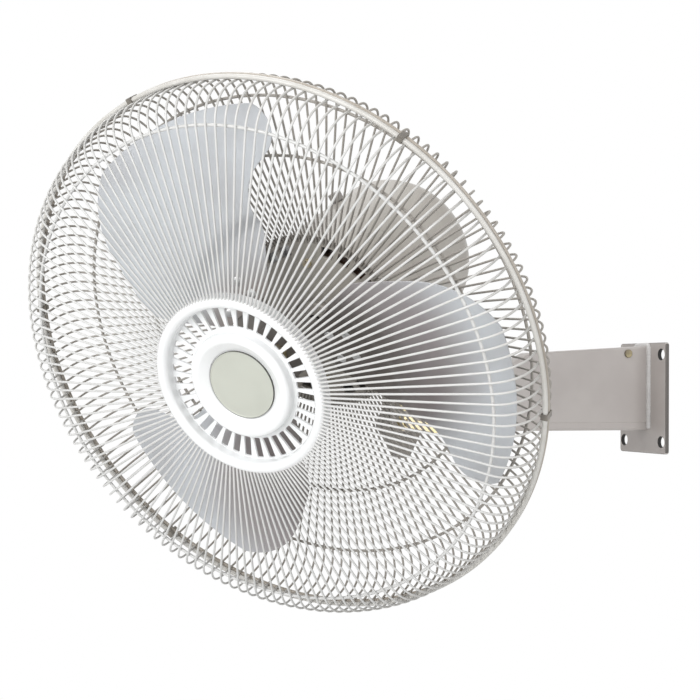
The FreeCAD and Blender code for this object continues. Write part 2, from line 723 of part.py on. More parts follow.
# ---------------------------------------------------------------- motor
def make_front_shell():
    edge = FACE_EDGE
    inner_edge = FACE_EDGE - SHELL_T
    back_of_face = MOTOR_FACE - SHELL_T
    nose = MOTOR_FACE + 6
    seat_end = MOTOR_FACE - 3
    boss_end = seat_end - BEARING_W
    points = [(SHAFT_R + 1.5, nose), (BEARING_BOSS_R - 2, nose), (BEARING_BOSS_R, nose - 2),
              (BEARING_BOSS_R, MOTOR_FACE), (MOTOR_R - edge, MOTOR_FACE),
              corner((MOTOR_R - edge, MOTOR_FACE - edge), edge, 90, 0), (MOTOR_R, SHIELD_S),
              (SHELL_IN, SHIELD_S), (SHELL_IN, back_of_face - inner_edge),
              corner((SHELL_IN - inner_edge, back_of_face - inner_edge), inner_edge, 0, 90),
              (BEARING_BOSS_R, back_of_face), (BEARING_BOSS_R, boss_end), (BEARING_R, boss_end),
              (BEARING_R, seat_end), (SHAFT_R + 1.5, seat_end)]
    shell = lathe(points)
    shell = shell.cut(vent_tools(back_of_face - 1, MOTOR_FACE + 1))
    hole = disc(SCREW_R, back_of_face - 1, MOTOR_FACE + 1, (GUARD_SCREW_AT, 0))
    shell = shell.cut([turned(hole, a) for a in screw_angles()])
    boss = Part.makeCylinder(BOSS_R, BOSS_FACE - BOSS_TOP, V(0, -BOSS_FACE, -SWIVEL_BACK), Y_AXIS)
    flare = Part.makeCone(BOSS_R, BOSS_R + 2, BOSS_FACE - MOTOR_R - 2, V(0, -BOSS_FACE + 4, -SWIVEL_BACK), Y_AXIS)
    flare = flare.cut(disc(SHELL_IN + 1, SHIELD_S - 20, MOTOR_FACE))
    socket = Part.makeCylinder(SWIVEL_PIN_R + RUN, BOSS_FACE - BOSS_TOP - PIN_HEAD_T,
                               V(0, -BOSS_FACE - 0.001, -SWIVEL_BACK), Y_AXIS)
    return shell.fuse([boss, flare]).cut(socket).removeSplitter()


def make_end_shield():
    back = SHIELD_S - SHIELD_T
    seat = SHIELD_S - 4
    lip = SHIELD_S - SHIELD_RIM
    return lathe([(SHAFT_R + 1.5, back), (SHELL_IN, back), (SHELL_IN, lip), (MOTOR_R, lip), (MOTOR_R, SHIELD_S),
                  (BEARING_BOSS_R, SHIELD_S), (BEARING_BOSS_R, seat + BEARING_W), (BEARING_R, seat + BEARING_W),
                  (BEARING_R, seat), (SHAFT_R + 1.5, seat)])


def make_rear_shell():
    lip = SHIELD_S - SHIELD_RIM
    flat_r = MOTOR_R - DOME_BEND
    inner_r = DOME_BEND - SHELL_T
    points = [(SHELL_IN, lip), (MOTOR_R, lip), (MOTOR_R, REAR_END + DOME_BEND),
              corner((flat_r, REAR_END + DOME_BEND), DOME_BEND, 0, -90), (0, REAR_END),
              (0, REAR_END + SHELL_T), (flat_r, REAR_END + SHELL_T),
              corner((flat_r, REAR_END + DOME_BEND), inner_r, -90, 0)]
    shell = lathe(points)
    crank_s = -SWIVEL_BACK - CRANK_BACK
    drop = Part.makeCylinder(CRANK_SHAFT_R + AIR, MOTOR_R + 20, V(0, 0, crank_s), V(0, -1, 0))
    rise = Part.makeCylinder(KNOB_STEM_R + AIR, MOTOR_R + 20, V(0, 0, crank_s), Y_AXIS)
    inlet = disc(GLAND_R - 2, REAR_END - 1, REAR_END + SHELL_T + 1, (0, GLAND_AT))
    holes = [disc(SCREW_R, REAR_END - 1, REAR_END + SHELL_T + 1, (side * POST_AT, 0)) for side in (-1, 1)]
    return shell.cut([drop, rise, inlet] + holes)


def make_bearing(low):
    return ring(SHAFT_R + BEARING_RUN, BEARING_R, low, low + BEARING_W)


def make_stator_core():
    core = ring(STATOR_BORE, SHELL_IN, STACK_REAR, STACK_FRONT)
    slot = box(STATOR_BORE - 2, WINDING_OUT, -2.5, 2.5, STACK_REAR - 1, STACK_FRONT + 1)
    return core.cut(around(slot, 16))


def make_windings():
    def coil(low, high):
        return lathe([(WINDING_IN, low), (WINDING_OUT, low), (WINDING_OUT, high - 4),
                      corner((WINDING_OUT - 4, high - 4), 4, 0, 90), (WINDING_IN + 4, high),
                      corner((WINDING_IN + 4, high - 4), 4, 90, 180)])
    front = coil(STACK_FRONT, STACK_FRONT + WINDING_LONG)
    rear = turned(coil(-STACK_REAR, -STACK_REAR + WINDING_LONG), 180, X_AXIS)
    return group([front, rear])


def make_rotor_core():
    core = ring(SHAFT_R, ROTOR_R, STACK_REAR, STACK_FRONT)
    front = ring(END_RING_IN, END_RING_OUT, STACK_FRONT, STACK_FRONT + END_RING_T)
    rear = ring(END_RING_IN, END_RING_OUT, STACK_REAR - END_RING_T, STACK_REAR)
    return core.fuse([front, rear])


def make_shaft():
    shaft = disc(SHAFT_R, SHAFT_REAR, HUB_FRONT - HUB_LEDGE)
    nose = disc(NOSE_R, HUB_FRONT - HUB_LEDGE, HUB_FRONT + HUB_NUT_T + NOSE_OUT)
    return shaft.fuse(nose)


# ---------------------------------------------------------------- gear case and small parts (axis frame)
def make_gear_case():
    front = SHIELD_S - SHIELD_T
    block = box(-CASE_HALF_W, CASE_HALF_W, -CASE_BOTTOM, CASE_TOP, CASE_REAR, front)
    room = box(-CASE_HALF_W + CASE_WALL, CASE_HALF_W - CASE_WALL, -CASE_BOTTOM + CASE_WALL,
               CASE_TOP - CASE_WALL, CASE_REAR + CASE_WALL, front + 1)
    posts = [disc(POST_R, REAR_END + SHELL_T, CASE_REAR + 1, (side * POST_AT, 0)) for side in (-1, 1)]
    case = block.cut(room).fuse(posts)
    crank_s = -SWIVEL_BACK - CRANK_BACK
    bore = Part.makeCylinder(CRANK_SHAFT_R + RUN, CASE_BOTTOM + 1, V(0, 0, crank_s), V(0, -1, 0))
    stem = Part.makeCylinder(KNOB_STEM_R + RUN, CASE_TOP + 1, V(0, 0, crank_s), Y_AXIS)
    pilots = [disc(SCREW_R, REAR_END + SHELL_T - 1, REAR_END + SHELL_T + 12, (side * POST_AT, 0))
              for side in (-1, 1)]
    return case.cut([bore, stem] + pilots)


def make_case_screws():
    screws = []
    for side in (-1, 1):
        at = (side * POST_AT, 0)
        head = disc(SCREW_HEAD_R, REAR_END - SCREW_HEAD_T, REAR_END, at)
        shank = disc(SCREW_R, REAR_END - 0.5, REAR_END + SHELL_T + 10, at)
        slot = box(at[0] - 3, at[0] + 3, -0.5, 0.5, REAR_END - SCREW_HEAD_T - 1, REAR_END - SCREW_HEAD_T + 1.2)
        screws.append(head.fuse(shank).cut(slot))
    return group(screws)


def make_capacitor():
    """Run capacitor standing on the gear case."""
    low = SHIELD_S - SHIELD_T - 8 - CAPACITOR_LONG
    centre = (CAPACITOR_R + 8, CASE_TOP + CAPACITOR_R)
    return disc(CAPACITOR_R, low, low + CAPACITOR_LONG, centre)


def make_gland():
    """Cord inlet low on the rear shell, its outlet left empty."""
    body = disc(GLAND_R, REAR_END - GLAND_LONG, REAR_END, (0, GLAND_AT))
    neck = disc(GLAND_R - 2, REAR_END - 1, REAR_END + SHELL_T + 5, (0, GLAND_AT))
    hole = disc(GLAND_HOLE_R, REAR_END - GLAND_LONG - 1, REAR_END + SHELL_T + 6, (0, GLAND_AT))
    return body.fuse(neck).cut(hole)


def make_clutch_knob():
    """Pull knob on top of the rear shell, over the crank shaft (head frame)."""
    base = MOTOR_R + AIR
    stem = disc(KNOB_STEM_R, CASE_TOP - CASE_WALL - KNOB_TRAVEL - 8, base + 2)
    knob = disc(KNOB_R, base, base + KNOB_H)
    piece = stem.fuse(knob)
    piece.translate(V(0, CRANK_BACK, 0))
    return piece


# ---------------------------------------------------------------- blades and hub (blade's middle line along x)
def blend(value):
    """Smooth change from 0 to 1."""
    t = min(1.0, max(0.0, value))
    return t * t * (3 - 2 * t)


def blade_s(radius, angle):
    """Height of the blade's middle surface at a radius and an angle in degrees from its middle line."""
    outer = blend((radius - 60) / 90)
    rise = ROOT_RISE + (BLADE_RISE - ROOT_RISE) * outer
    step = blend((radius - STEP_AT + STEP_LEAN * angle) / STEP_WIDE + 0.5)
    return BLADE_MID_S - STEP_H * (1 - step) + rise * math.radians(angle)


def polar(radius, angle):
    """Point in the plane of the disc."""
    a = math.radians(angle)
    return (radius * math.cos(a), radius * math.sin(a))


def blade_normal(radius, angle):
    """Direction square to the blade's surface."""
    reach = 1.0
    x, y = polar(radius, angle)

    def height(px, py):
        return blade_s(math.hypot(px, py), math.degrees(math.atan2(py, px)))
    dx = (height(x + reach, y) - height(x - reach, y)) / (2 * reach)
    dy = (height(x, y + reach) - height(x, y - reach)) / (2 * reach)
    return V(-dx, -dy, 1).normalize()


def sheet(low, high, inner, outer, first, last, rows, columns):
    """Solid between two copies of the blade's surface, over a patch of the disc."""
    def skin(lift):
        grid = []
        for i in range(rows):
            radius = inner + (outer - inner) * i / (rows - 1)
            row = []
            for j in range(columns):
                angle = first + (last - first) * j / (columns - 1)
                x, y = polar(radius, angle)
                row.append(V(x, y, blade_s(radius, angle) + lift))
            grid.append(row)
        surface = Part.BSplineSurface()
        surface.interpolate(grid)
        return surface.toShape()
    return skin(low).extrude(V(0, 0, high - low))


def rounded_prism(corners, low, high):
    """Prism from (radius, angle, rounding) corners round the hub."""
    return prism_z(rounded_corners([polar(r, a) + (rounding,) for r, a, rounding in corners]), low, high)


def rivet_spots():
    """Radius and angle of a blade's rivets."""
    return ((RIVET_INNER_AT, ROOT_MID - 13), (RIVET_INNER_AT, ROOT_MID + 13),
            (RIVET_OUTER_AT, ROOT_MID - 9), (RIVET_OUTER_AT, ROOT_MID + 9))


def rivet_holes():
    holes = []
    for radius, angle in rivet_spots():
        x, y = polar(radius, angle)
        direction = blade_normal(radius, angle)
        at = V(x, y, blade_s(radius, angle))
        holes.append(Part.makeCylinder(RIVET_R, 30, at - direction * 15, direction))
    return holes


def make_blade(index):
    paddle = rounded_prism([(BLADE_ROOT_R, ROOT_MID - 27, 6), (BLADE_WAIST_R, -16.5, 30),
                            (BLADE_LEAD_R, -14.5, 50), (BLADE_TIP_R + 13, -34.5, 32), (BLADE_TIP_R + 21, 0, 0),
                            (BLADE_TIP_R + 11, 31, 90), (BLADE_TRAIL_R, 51, 40),
                            (BLADE_ROOT_R, ROOT_MID + 27, 6)], -80, 60)
    paddle = paddle.common(disc(BLADE_TIP_R, -81, 61))
    body = sheet(-BLADE_T / 2, BLADE_T / 2, BLADE_ROOT_R - 20, BLADE_TIP_R + 4, -40, 64, 22, 9)
    blade = body.common(paddle).cut(rivet_holes())
    return turned(blade, BLADE_PHASE + 360.0 * index / BLADE_COUNT)


def make_hub():
    low = -BLADE_T / 2 - PAD_T
    patch = sheet(low, -BLADE_T / 2, PAD_IN - 8, PAD_OUT + 8, ROOT_MID - 60, ROOT_MID + 60, 12, 9)
    pad = rounded_prism([(PAD_IN, ROOT_MID - 40, 0), (PAD_OUT, ROOT_MID - 16, 10), (PAD_OUT, ROOT_MID + 16, 10),
                         (PAD_IN, ROOT_MID + 40, 0)], -80, 60)
    arm = patch.common(pad).cut(rivet_holes())
    body = disc(HUB_R, HUB_REAR, HUB_FRONT)
    hub = body.fuse(around(arm, BLADE_COUNT, BLADE_PHASE))
    ledge = HUB_FRONT - HUB_LEDGE
    return hub.cut([disc(SHAFT_R, HUB_REAR - 1, ledge), disc(NOSE_R, ledge - 1, HUB_FRONT + 1)])


def make_rivets():
    rivets = []
    for radius, angle in rivet_spots():
        x, y = polar(radius, angle)
        direction = blade_normal(radius, angle)
        at = V(x, y, blade_s(radius, angle))
        cosine = direction.z
        front = BLADE_T / 2 * cosine
        back = (BLADE_T / 2 + PAD_T) * cosine
        shank = Part.makeCylinder(RIVET_R, front + back, at - direction * back, direction)
        head = Part.makeCylinder(RIVET_HEAD_R, RIVET_HEAD_T, at + direction * front, direction)
        tail = Part.makeCylinder(RIVET_HEAD_R - 1, RIVET_HEAD_T, at - direction * (back + RIVET_HEAD_T), direction)
        rivets.append(shank.fuse([head, tail]))
    everything = []
    for k in range(BLADE_COUNT):
        everything += [turned(r, BLADE_PHASE + 360.0 * k / BLADE_COUNT) for r in rivets]
    return group(everything)


def make_hub_nut():
    return hexagon(HUB_NUT_ACROSS, HUB_FRONT, HUB_FRONT + HUB_NUT_T).cut(
        disc(NOSE_R, HUB_FRONT - 1, HUB_FRONT + HUB_NUT_T + 1))


# ---------------------------------------------------------------- nodes
TILT_PLACE = FreeCAD.Placement(TILT_POINT, FreeCAD.Rotation())
CLAMP_PLACE = FreeCAD.Placement(TILT_POINT - V(0, 0, CLAMP_DROP), FreeCAD.Rotation())

NODES = [
    ("wall_plate", make_wall_plate(), WORLD_PLACE),
    ("wall_arm", make_wall_arm(), WORLD_PLACE),
    ("earth_screw", make_earth_screw(), WORLD_PLACE),
    ("tilt_bolt", make_tilt_bolt(), TILT_PLACE),
    ("tilt_nut", make_tilt_nut(), TILT_PLACE),
    ("tilt_washers", cross_washers(TILT_BOLT_R, WASHER_R), TILT_PLACE),
    ("clamp_bolt", make_clamp_bolt(), CLAMP_PLACE),
    ("clamp_washers", cross_washers(CLAMP_R, CLAMP_WASHER_R), CLAMP_PLACE),
    ("tilt_lever", make_tilt_lever(), CLAMP_PLACE),
    ("neck", make_neck(), NECK_PLACE),
    ("swivel_pin", make_swivel_pin(), NECK_PLACE),
    ("thrust_washer", make_thrust_washer(), NECK_PLACE),
    ("link_stud", make_link_stud(), NECK_PLACE),
    ("oscillation_link", make_link(), NECK_PLACE),
    ("crank", make_crank(), HEAD_PLACE),
    ("clutch_knob", make_clutch_knob(), HEAD_PLACE),
    ("motor_front_shell", make_front_shell(), AXIS_PLACE),
    ("motor_rear_shell", make_rear_shell(), AXIS_PLACE),
    ("end_shield", make_end_shield(), AXIS_PLACE),
    ("stator_core", make_stator_core(), AXIS_PLACE),
    ("stator_windings", make_windings(), AXIS_PLACE),
    ("front_bearing", make_bearing(MOTOR_FACE - 3 - BEARING_W), AXIS_PLACE),
    ("rear_bearing", make_bearing(SHIELD_S - 4), AXIS_PLACE),
    ("gear_case", make_gear_case(), AXIS_PLACE),
    ("rear_shell_screws", make_case_screws(), AXIS_PLACE),
    ("run_capacitor", make_capacitor(), AXIS_PLACE),
    ("cord_gland", make_gland(), AXIS_PLACE),
    ("rear_guard_plate", make_guard_plate(), AXIS_PLACE),
    ("guard_screws", make_guard_screws(), AXIS_PLACE),
    ("rear_guard_wires", make_rear_wires(), AXIS_PLACE),
    ("rear_guard_rings", make_rear_rings(), AXIS_PLACE),
    ("rear_rim_hoop", make_rim_hoop(-1), AXIS_PLACE),
    ("front_rim_hoop", make_rim_hoop(1), AXIS_PLACE),
    ("rim_clips", make_rim_clips(), AXIS_PLACE),
    ("front_guard_wires", make_front_wires(), AXIS_PLACE),
    ("front_guard_ring", make_front_ring(), AXIS_PLACE),
    ("cap_band", make_cap_band(), AXIS_PLACE),
    ("cap_grille", make_cap_grille(), AXIS_PLACE),
    ("hub_cap", make_hub_cap(), AXIS_PLACE),
    ("hub_cap_badge", make_badge(), AXIS_PLACE),
    ("motor_shaft", make_shaft(), AXIS_PLACE),
    ("rotor_core", make_rotor_core(), AXIS_PLACE),
    ("fan_hub", make_hub(), AXIS_PLACE),
    ("blade_1", make_blade(0), AXIS_PLACE),
    ("blade_2", make_blade(1), AXIS_PLACE),
    ("blade_3", make_blade(2), AXIS_PLACE),
    ("blade_rivets", make_rivets(), AXIS_PLACE),
    ("hub_nut", make_hub_nut(), AXIS_PLACE),
]

os.makedirs("parts", exist_ok=True)
for node_name, node_shape, node_place in NODES:
    save(node_name, node_shape, node_place)
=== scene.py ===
"""Looks of a wall mounted fan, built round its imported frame: finishes, finer pieces and studio."""

import logging
import math
import random
from dataclasses import dataclass
from enum import Enum
from typing import Any, Callable, Mapping, Optional, Sequence, Union

import bmesh
import bpy
from mathutils import Matrix, Vector
from mathutils.geometry import tessellate_polygon


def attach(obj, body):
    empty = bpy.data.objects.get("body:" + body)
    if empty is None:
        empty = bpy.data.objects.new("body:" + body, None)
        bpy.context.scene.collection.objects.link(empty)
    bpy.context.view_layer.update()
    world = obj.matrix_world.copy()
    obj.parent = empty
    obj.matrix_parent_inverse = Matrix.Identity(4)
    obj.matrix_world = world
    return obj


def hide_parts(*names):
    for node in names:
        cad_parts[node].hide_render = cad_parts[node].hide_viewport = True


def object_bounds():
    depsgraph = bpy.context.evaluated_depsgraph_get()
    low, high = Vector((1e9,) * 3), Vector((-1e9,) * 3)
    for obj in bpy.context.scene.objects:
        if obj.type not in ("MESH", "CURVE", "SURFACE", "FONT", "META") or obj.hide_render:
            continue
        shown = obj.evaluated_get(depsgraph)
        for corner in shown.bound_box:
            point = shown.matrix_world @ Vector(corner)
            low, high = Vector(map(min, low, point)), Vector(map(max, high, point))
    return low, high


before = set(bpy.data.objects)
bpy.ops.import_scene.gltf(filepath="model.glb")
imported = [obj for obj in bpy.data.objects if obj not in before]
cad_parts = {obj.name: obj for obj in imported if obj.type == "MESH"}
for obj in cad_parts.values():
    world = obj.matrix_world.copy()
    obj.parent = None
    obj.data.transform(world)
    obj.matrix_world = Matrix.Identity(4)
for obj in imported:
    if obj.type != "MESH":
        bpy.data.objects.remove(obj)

LOG = logging.getLogger("wall_fan")
LOADED_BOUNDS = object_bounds()
MM = 0.001
ACROSS = (1.0, 1.0, 0.0)  # takes a vector onto the plane of X and Y
WHITE = (1.0, 1.0, 1.0)
CORNERS = ((-1, -1), (1, -1), (1, 1), (-1, 1))  # corners of a square, anticlockwise
Colour = tuple[float, float, float]
Point = tuple[float, float, float]
Corner = tuple[float, float, float]
Pair = tuple[float, float]
Operand = Union["Socket", float, int, Sequence[float]]
Inputs = dict[Union[str, int], Operand]


# ---------------------------------------------------------------- stance
@dataclass(frozen=True)
class Stance:
    """How the head stands on the arm, in degrees and millimetres."""

    tilt: float = 31.0
    swing: float = 33.0
    reach: float = 323.0
    drop: float = 4.0
    rise: float = 130.0
    back: float = 154.0

    @property
    def bolt(self) -> Matrix:
        """Frame of the tilt bolt."""
        return Matrix.Translation(Vector((0.0, -self.reach, -self.drop)) * MM)

    @property
    def head(self) -> Matrix:
        """Find the frame of the head, with the swivel pin along Z.

        Returns:
            The frame.
        """
        neck = self.bolt @ Matrix.Rotation(math.radians(self.tilt), 4, "X")
        pin = neck @ Matrix.Translation((0.0, 0.0, self.rise * MM))
        return pin @ Matrix.Rotation(math.radians(self.swing), 4, "Z")

    @property
    def axis(self) -> Matrix:
        """Frame of the guard: middle of the rim at 0 and the air's way out along Z."""
        front = self.head @ Matrix.Translation((0.0, -self.back * MM, 0.0))
        return front @ Matrix.Rotation(math.radians(90.0), 4, "X")


STANCE = Stance()


# ---------------------------------------------------------------- shader expressions
class Socket:
    """Output of a shader node that is used in ordinary expressions."""

    def __init__(self, graph: "Graph", output: bpy.types.NodeSocket) -> None:
        """Wrap the output of a node in a graph."""
        self.graph = graph
        self.output = output

    @property
    def wide(self) -> bool:
        """Whether the socket carries a vector or a colour."""
        return self.output.type in {"VECTOR", "RGBA"}

    def join(self, operation: str, first: Operand, second: Operand) -> "Socket":
        """Combine two operands with a Math or a Vector Math node.

        Args:
            operation: Name of the operation.
            first: Left operand.
            second: Right operand.

        Returns:
            The combined value.
        """
        pair = (first, second)
        if not any(isinstance(value, Socket) and value.wide for value in pair):
            return self.graph.node("ShaderNodeMath", {"operation": operation},
                                   dict(enumerate(pair)))
        pair = [(value,) * 3 if isinstance(value, (int, float)) else value for value in pair]
        return self.graph.node("ShaderNodeVectorMath", {"operation": operation},
                               dict(enumerate(pair)))

    def __add__(self, other: Operand) -> "Socket":
        """Return self + other."""
        return self.join("ADD", self, other)

    def __radd__(self, other: Operand) -> "Socket":
        """Return other + self."""
        return self.join("ADD", other, self)

    def __sub__(self, other: Operand) -> "Socket":
        """Return self - other."""
        return self.join("SUBTRACT", self, other)

    def __rsub__(self, other: Operand) -> "Socket":
        """Return other - self."""
        return self.join("SUBTRACT", other, self)

    def __mul__(self, other: Operand) -> "Socket":
        """Return self * other."""
        return self.join("MULTIPLY", self, other)

    def __rmul__(self, other: Operand) -> "Socket":
        """Return other * self."""
        return self.join("MULTIPLY", other, self)

    def step(self, low: float, high: float) -> "Socket":
        """Return 0 below low, 1 above high and a smooth change between."""
        return self.graph.node("ShaderNodeMapRange", {"interpolation_type": "SMOOTHSTEP"},
                               {"Value": self, "From Min": low, "From Max": high})

    def blend(self, first: Operand, second: Operand) -> "Socket":
        """Mix two colours, this value being the share of the second."""
        return self.graph.node("ShaderNodeMix", {"data_type": "RGBA"},
                               {0: self, 6: first, 7: second}, 2)

    def length(self) -> "Socket":
        """Return the length of a vector."""
        return self.graph.node("ShaderNodeVectorMath", {"operation": "LENGTH"}, {0: self}, "Value")


class Graph:
    """Node tree of a material or a world, written as expressions."""

    def __init__(self, tree: bpy.types.NodeTree) -> None:
        """Empty a tree so that it can be filled."""
        self.tree = tree
        tree.nodes.clear()

    def node(self, kind: str, settings: Mapping[str, Any],
             values: Mapping[Union[str, int], Operand], output: Union[str, int] = 0) -> Socket:
        """Add a node of any type.

        Args:
            kind: Type of the node.
            settings: Properties that are set before anything is linked.
            values: Constants or sockets for its inputs, by name or index.
            output: Output to return.

        Returns:
            The chosen output.
        """
        made = self.tree.nodes.new(kind)
        for key, value in settings.items():
            setattr(made, key, value)
        for key, value in values.items():
            target = made.inputs[key]
            if isinstance(value, Socket):
                self.tree.links.new(value.output, target)
            elif target.type == "RGBA" and len(value) == 3:
                target.default_value = (*value, 1.0)
            else:
                target.default_value = value
        return Socket(self, made.outputs[output] if made.outputs else None)

    def place(self, axes: Optional[Matrix] = None) -> Socket:
        """Find the point of the surface, in metres.

        Args:
            axes: Frame to measure it in, by default the frame of the whole fan.

        Returns:
            The point.
        """
        point = self.node("ShaderNodeTexCoord", {}, {}, "Object")
        if axes is None:
            return point
        return self.node("ShaderNodeMapping", {"vector_type": "TEXTURE"},
                         {"Vector": point, "Location": axes.translation,
                          "Rotation": axes.to_euler()})

    def radius(self, axes: Optional[Matrix] = None, centre: Optional[Pair] = None) -> Socket:
        """Find how far the point of the surface is from a line along Z.

        Args:
            axes: Frame that the line belongs to, by default the frame of the whole fan.
            centre: Where the line crosses the plane of X and Y, by default at 0.

        Returns:
            The distance in metres.
        """
        point = self.place(axes)
        if centre:
            point = point - (*centre, 0.0)
        return (point * ACROSS).length()

    def noise(self, scale: float, detail: float = 2.0, where: Optional[Socket] = None) -> Socket:
        """Return soft noise round 0.5, with its scale in cells to a metre."""
        return self.node("ShaderNodeTexNoise", {},
                         {"Vector": where or self.place(), "Scale": scale, "Detail": detail})

    def bump(self, height: Operand, depth: float) -> Socket:
        """Return the normal of a surface raised by a height, depth being metres for 1."""
        return self.node("ShaderNodeBump", {}, {"Height": height, "Distance": depth})

    def seen(self) -> Socket:
        """Find the rays that look at a surface straight, in gloss or through another.

        Returns:
            1 for these rays and 0 for all others.
        """
        share = self.node("ShaderNodeLightPath", {}, {}, "Is Camera Ray")
        for name in ("Is Glossy Ray", "Is Transmission Ray"):
            other = self.node("ShaderNodeLightPath", {}, {}, name)
            share = self.node("ShaderNodeMath", {"operation": "MAXIMUM"}, {0: share, 1: other})
        return share

    def finish(self, kind: str, surface: Socket) -> None:
        """Send a shader to an output node of a kind."""
        self.node(kind, {}, {"Surface": surface})


# ---------------------------------------------------------------- finishes
@dataclass(frozen=True)
class Finish:
    """Finish with a mottled colour and a fine grain, and the base of the others.

    The shade fills patches, of which mottle gives the number to a metre and fade the noise
    between which they set in. The grain, also counted to a metre, is depth metres high.
    """

    name: str
    colour: Colour
    shade: Colour
    rough: float = 0.4
    metal: float = 0.0
    coat: float = 0.0
    coat_rough: float = 0.12
    mottle: float = 14.0
    octaves: float = 4.0
    fade: Pair = (0.3, 0.7)
    grain: float = 900.0
    grain_octaves: float = 2.0
    grit: float = 0.12
    wear: float = 0.05
    depth: float = 0.00004

    def patches(self, graph: Graph) -> Socket:
        """Return the share of the shade over the surface."""
        return graph.noise(self.mottle, self.octaves).step(*self.fade)

    def cover(self, graph: Graph, tone: Socket, grain: Socket,
              worn: Optional[Socket] = None) -> Inputs:
        """Put a grain on a tone.

        Args:
            graph: Graph of the material.
            tone: Colour over the surface.
            grain: Grain between 0 and 1.
            worn: Share of the wear, which roughens the surface.

        Returns:
            Inputs by name.
        """
        rough = self.rough + (grain - 0.5) * self.grit
        return {"Base Color": tone, "Roughness": rough + worn * self.wear if worn else rough,
                "Normal": graph.bump(grain, self.depth)}

    def paint(self, graph: Graph) -> Inputs:
        """Return the shader inputs that change over the surface.

        Args:
            graph: Graph of the material.

        Returns:
            Inputs by name.
        """
        patches = self.patches(graph)
        grain = graph.noise(self.grain, self.grain_octaves)
        return self.cover(graph, patches.blend(self.colour, self.shade), grain, patches)

    def material(self) -> bpy.types.Material:
        """Find the material of this finish, which is made when it is first asked for.

        Returns:
            The material.
        """
        title = self.name + "_finish"
        known = bpy.data.materials.get(title)
        if known:
            return known
        made = bpy.data.materials.new(title)
        made.use_nodes = True
        graph = Graph(made.node_tree)
        values: Inputs = {"Metallic": self.metal, "Coat Weight": self.coat,
                          "Coat Roughness": self.coat_rough}
        values.update(self.paint(graph))
        shader = graph.node("ShaderNodeBsdfPrincipled", {}, values)
        graph.finish("ShaderNodeOutputMaterial", shader)
        return made


@dataclass(frozen=True)
class WireCoat(Finish):
    """Coated wire, darker and browner at its outer end beyond two radii."""

    mottle: float = 60.0
    octaves: float = 3.0
    fade: Pair = (0.45, 0.75)
    grain: float = 1500.0
    grit: float = 0.15
    wear: float = 0.1
    depth: float = 0.00002
    shaded: float = 0.5
    bend: Pair = (0.262, 0.287)
    outer_tone: Colour = (0.42, 0.38, 0.32)
    outer_share: float = 0.55

    def paint(self, graph: Graph) -> Inputs:
        """Return the shader inputs that change over the surface.

        Args:
            graph: Graph of the material.

        Returns:
            Inputs by name.
        """
        # darker, browner tone towards the outer end of each wire
        ends = graph.radius(STANCE.axis).step(*self.bend)
        tone = (self.patches(graph) * self.shaded).blend(self.colour, self.shade)
        grain = graph.noise(self.grain, self.grain_octaves)
        return self.cover(graph, (ends * self.outer_share).blend(tone, self.outer_tone), grain, ends)


@dataclass(frozen=True)
class Zone:
    """Round zone of the fan's disc, in metres, that fades out between two radii."""

    centre: Optional[Pair]
    inner: float
    outer: float

    def outside(self, graph: Graph, drift: Optional[Socket] = None) -> Socket:
        """Return 0 inside the zone and 1 outside, with a drift that makes its rim wander."""
        away = graph.radius(STANCE.axis, self.centre)
        return (away + drift if drift else away).step(self.inner, self.outer)


@dataclass(frozen=True)
class BladePaint(Finish):
    """Satin silver paint with painted shade near the middle, hub and roots and painted light towards
    the rim.
    """

    fade: Pair = (0.35, 0.7)
    grain: float = 2600.0
    grain_octaves: float = 1.0
    grit: float = 0.2
    depth: float = 0.00001
    # painted light: a lighter, cooler tone away from the right and low zones, towards the rim
    painted_light: Colour = (0.61, 0.635, 0.665)
    # painted shadow of the cap over the middle zone
    painted_shadow: Colour = (0.21, 0.185, 0.185)
    # painted shade along the pressed step, in the root zone
    painted_step_shade: Colour = (0.085, 0.072, 0.062)
    shaded: float = 0.25
    drift: float = 5.0
    drift_by: float = 0.02
    # zones fixed to the disc: middle holds the painted shadow, right and low keep out the painted
    # light, hub and root hold painted shade
    middle: Zone = Zone((0.03, -0.09), 0.09, 0.19)
    right: Zone = Zone((0.10, -0.03), 0.075, 0.135)
    low: Zone = Zone((-0.07, -0.14), 0.065, 0.13)
    hub: Zone = Zone(None, 0.065, 0.11)
    root: Zone = Zone((0.055, -0.02), 0.055, 0.105)

    def paint(self, graph: Graph) -> Inputs:
        """Return the shader inputs that change over the surface.

        Args:
            graph: Graph of the material.

        Returns:
            Inputs by name.
        """
        drift = (graph.noise(self.drift) - 0.5) * self.drift_by
        # painted shadow in the middle zone, then painted light outside the right and low zones
        tone = self.middle.outside(graph, drift).blend(self.painted_shadow, self.colour)
        painted_light_share = self.right.outside(graph, drift) * self.low.outside(graph, drift)
        # painted shade in the shade colour near the hub, then along the roots' step
        tone = self.hub.outside(graph).blend(self.shade, painted_light_share.blend(tone, self.painted_light))
        tone = self.root.outside(graph, drift).blend(self.painted_step_shade, tone)
        tone = (self.patches(graph) * self.shaded).blend(tone, self.shade)
        return self.cover(graph, tone, graph.noise(self.grain, self.grain_octaves))


@dataclass(frozen=True)
class Plated(Finish):
    """Passivated zinc whose tint drifts between two colours, with fine scratches."""

    mottle: float = 70.0
    octaves: float = 3.0
    fade: Pair = (0.35, 0.65)
    grit: float = 0.3
    depth: float = 0.00002
    scratches: Point = (1400.0, 260.0, 900.0)

    def paint(self, graph: Graph) -> Inputs:
        """Return the shader inputs that change over the surface.

        Args:
            graph: Graph of the material.

        Returns:
            Inputs by name.
        """
        tone = self.patches(graph).blend(self.colour, self.shade)
        return self.cover(graph, tone, graph.noise(1.0, self.grain_octaves,
                                                   graph.place() * self.scratches))


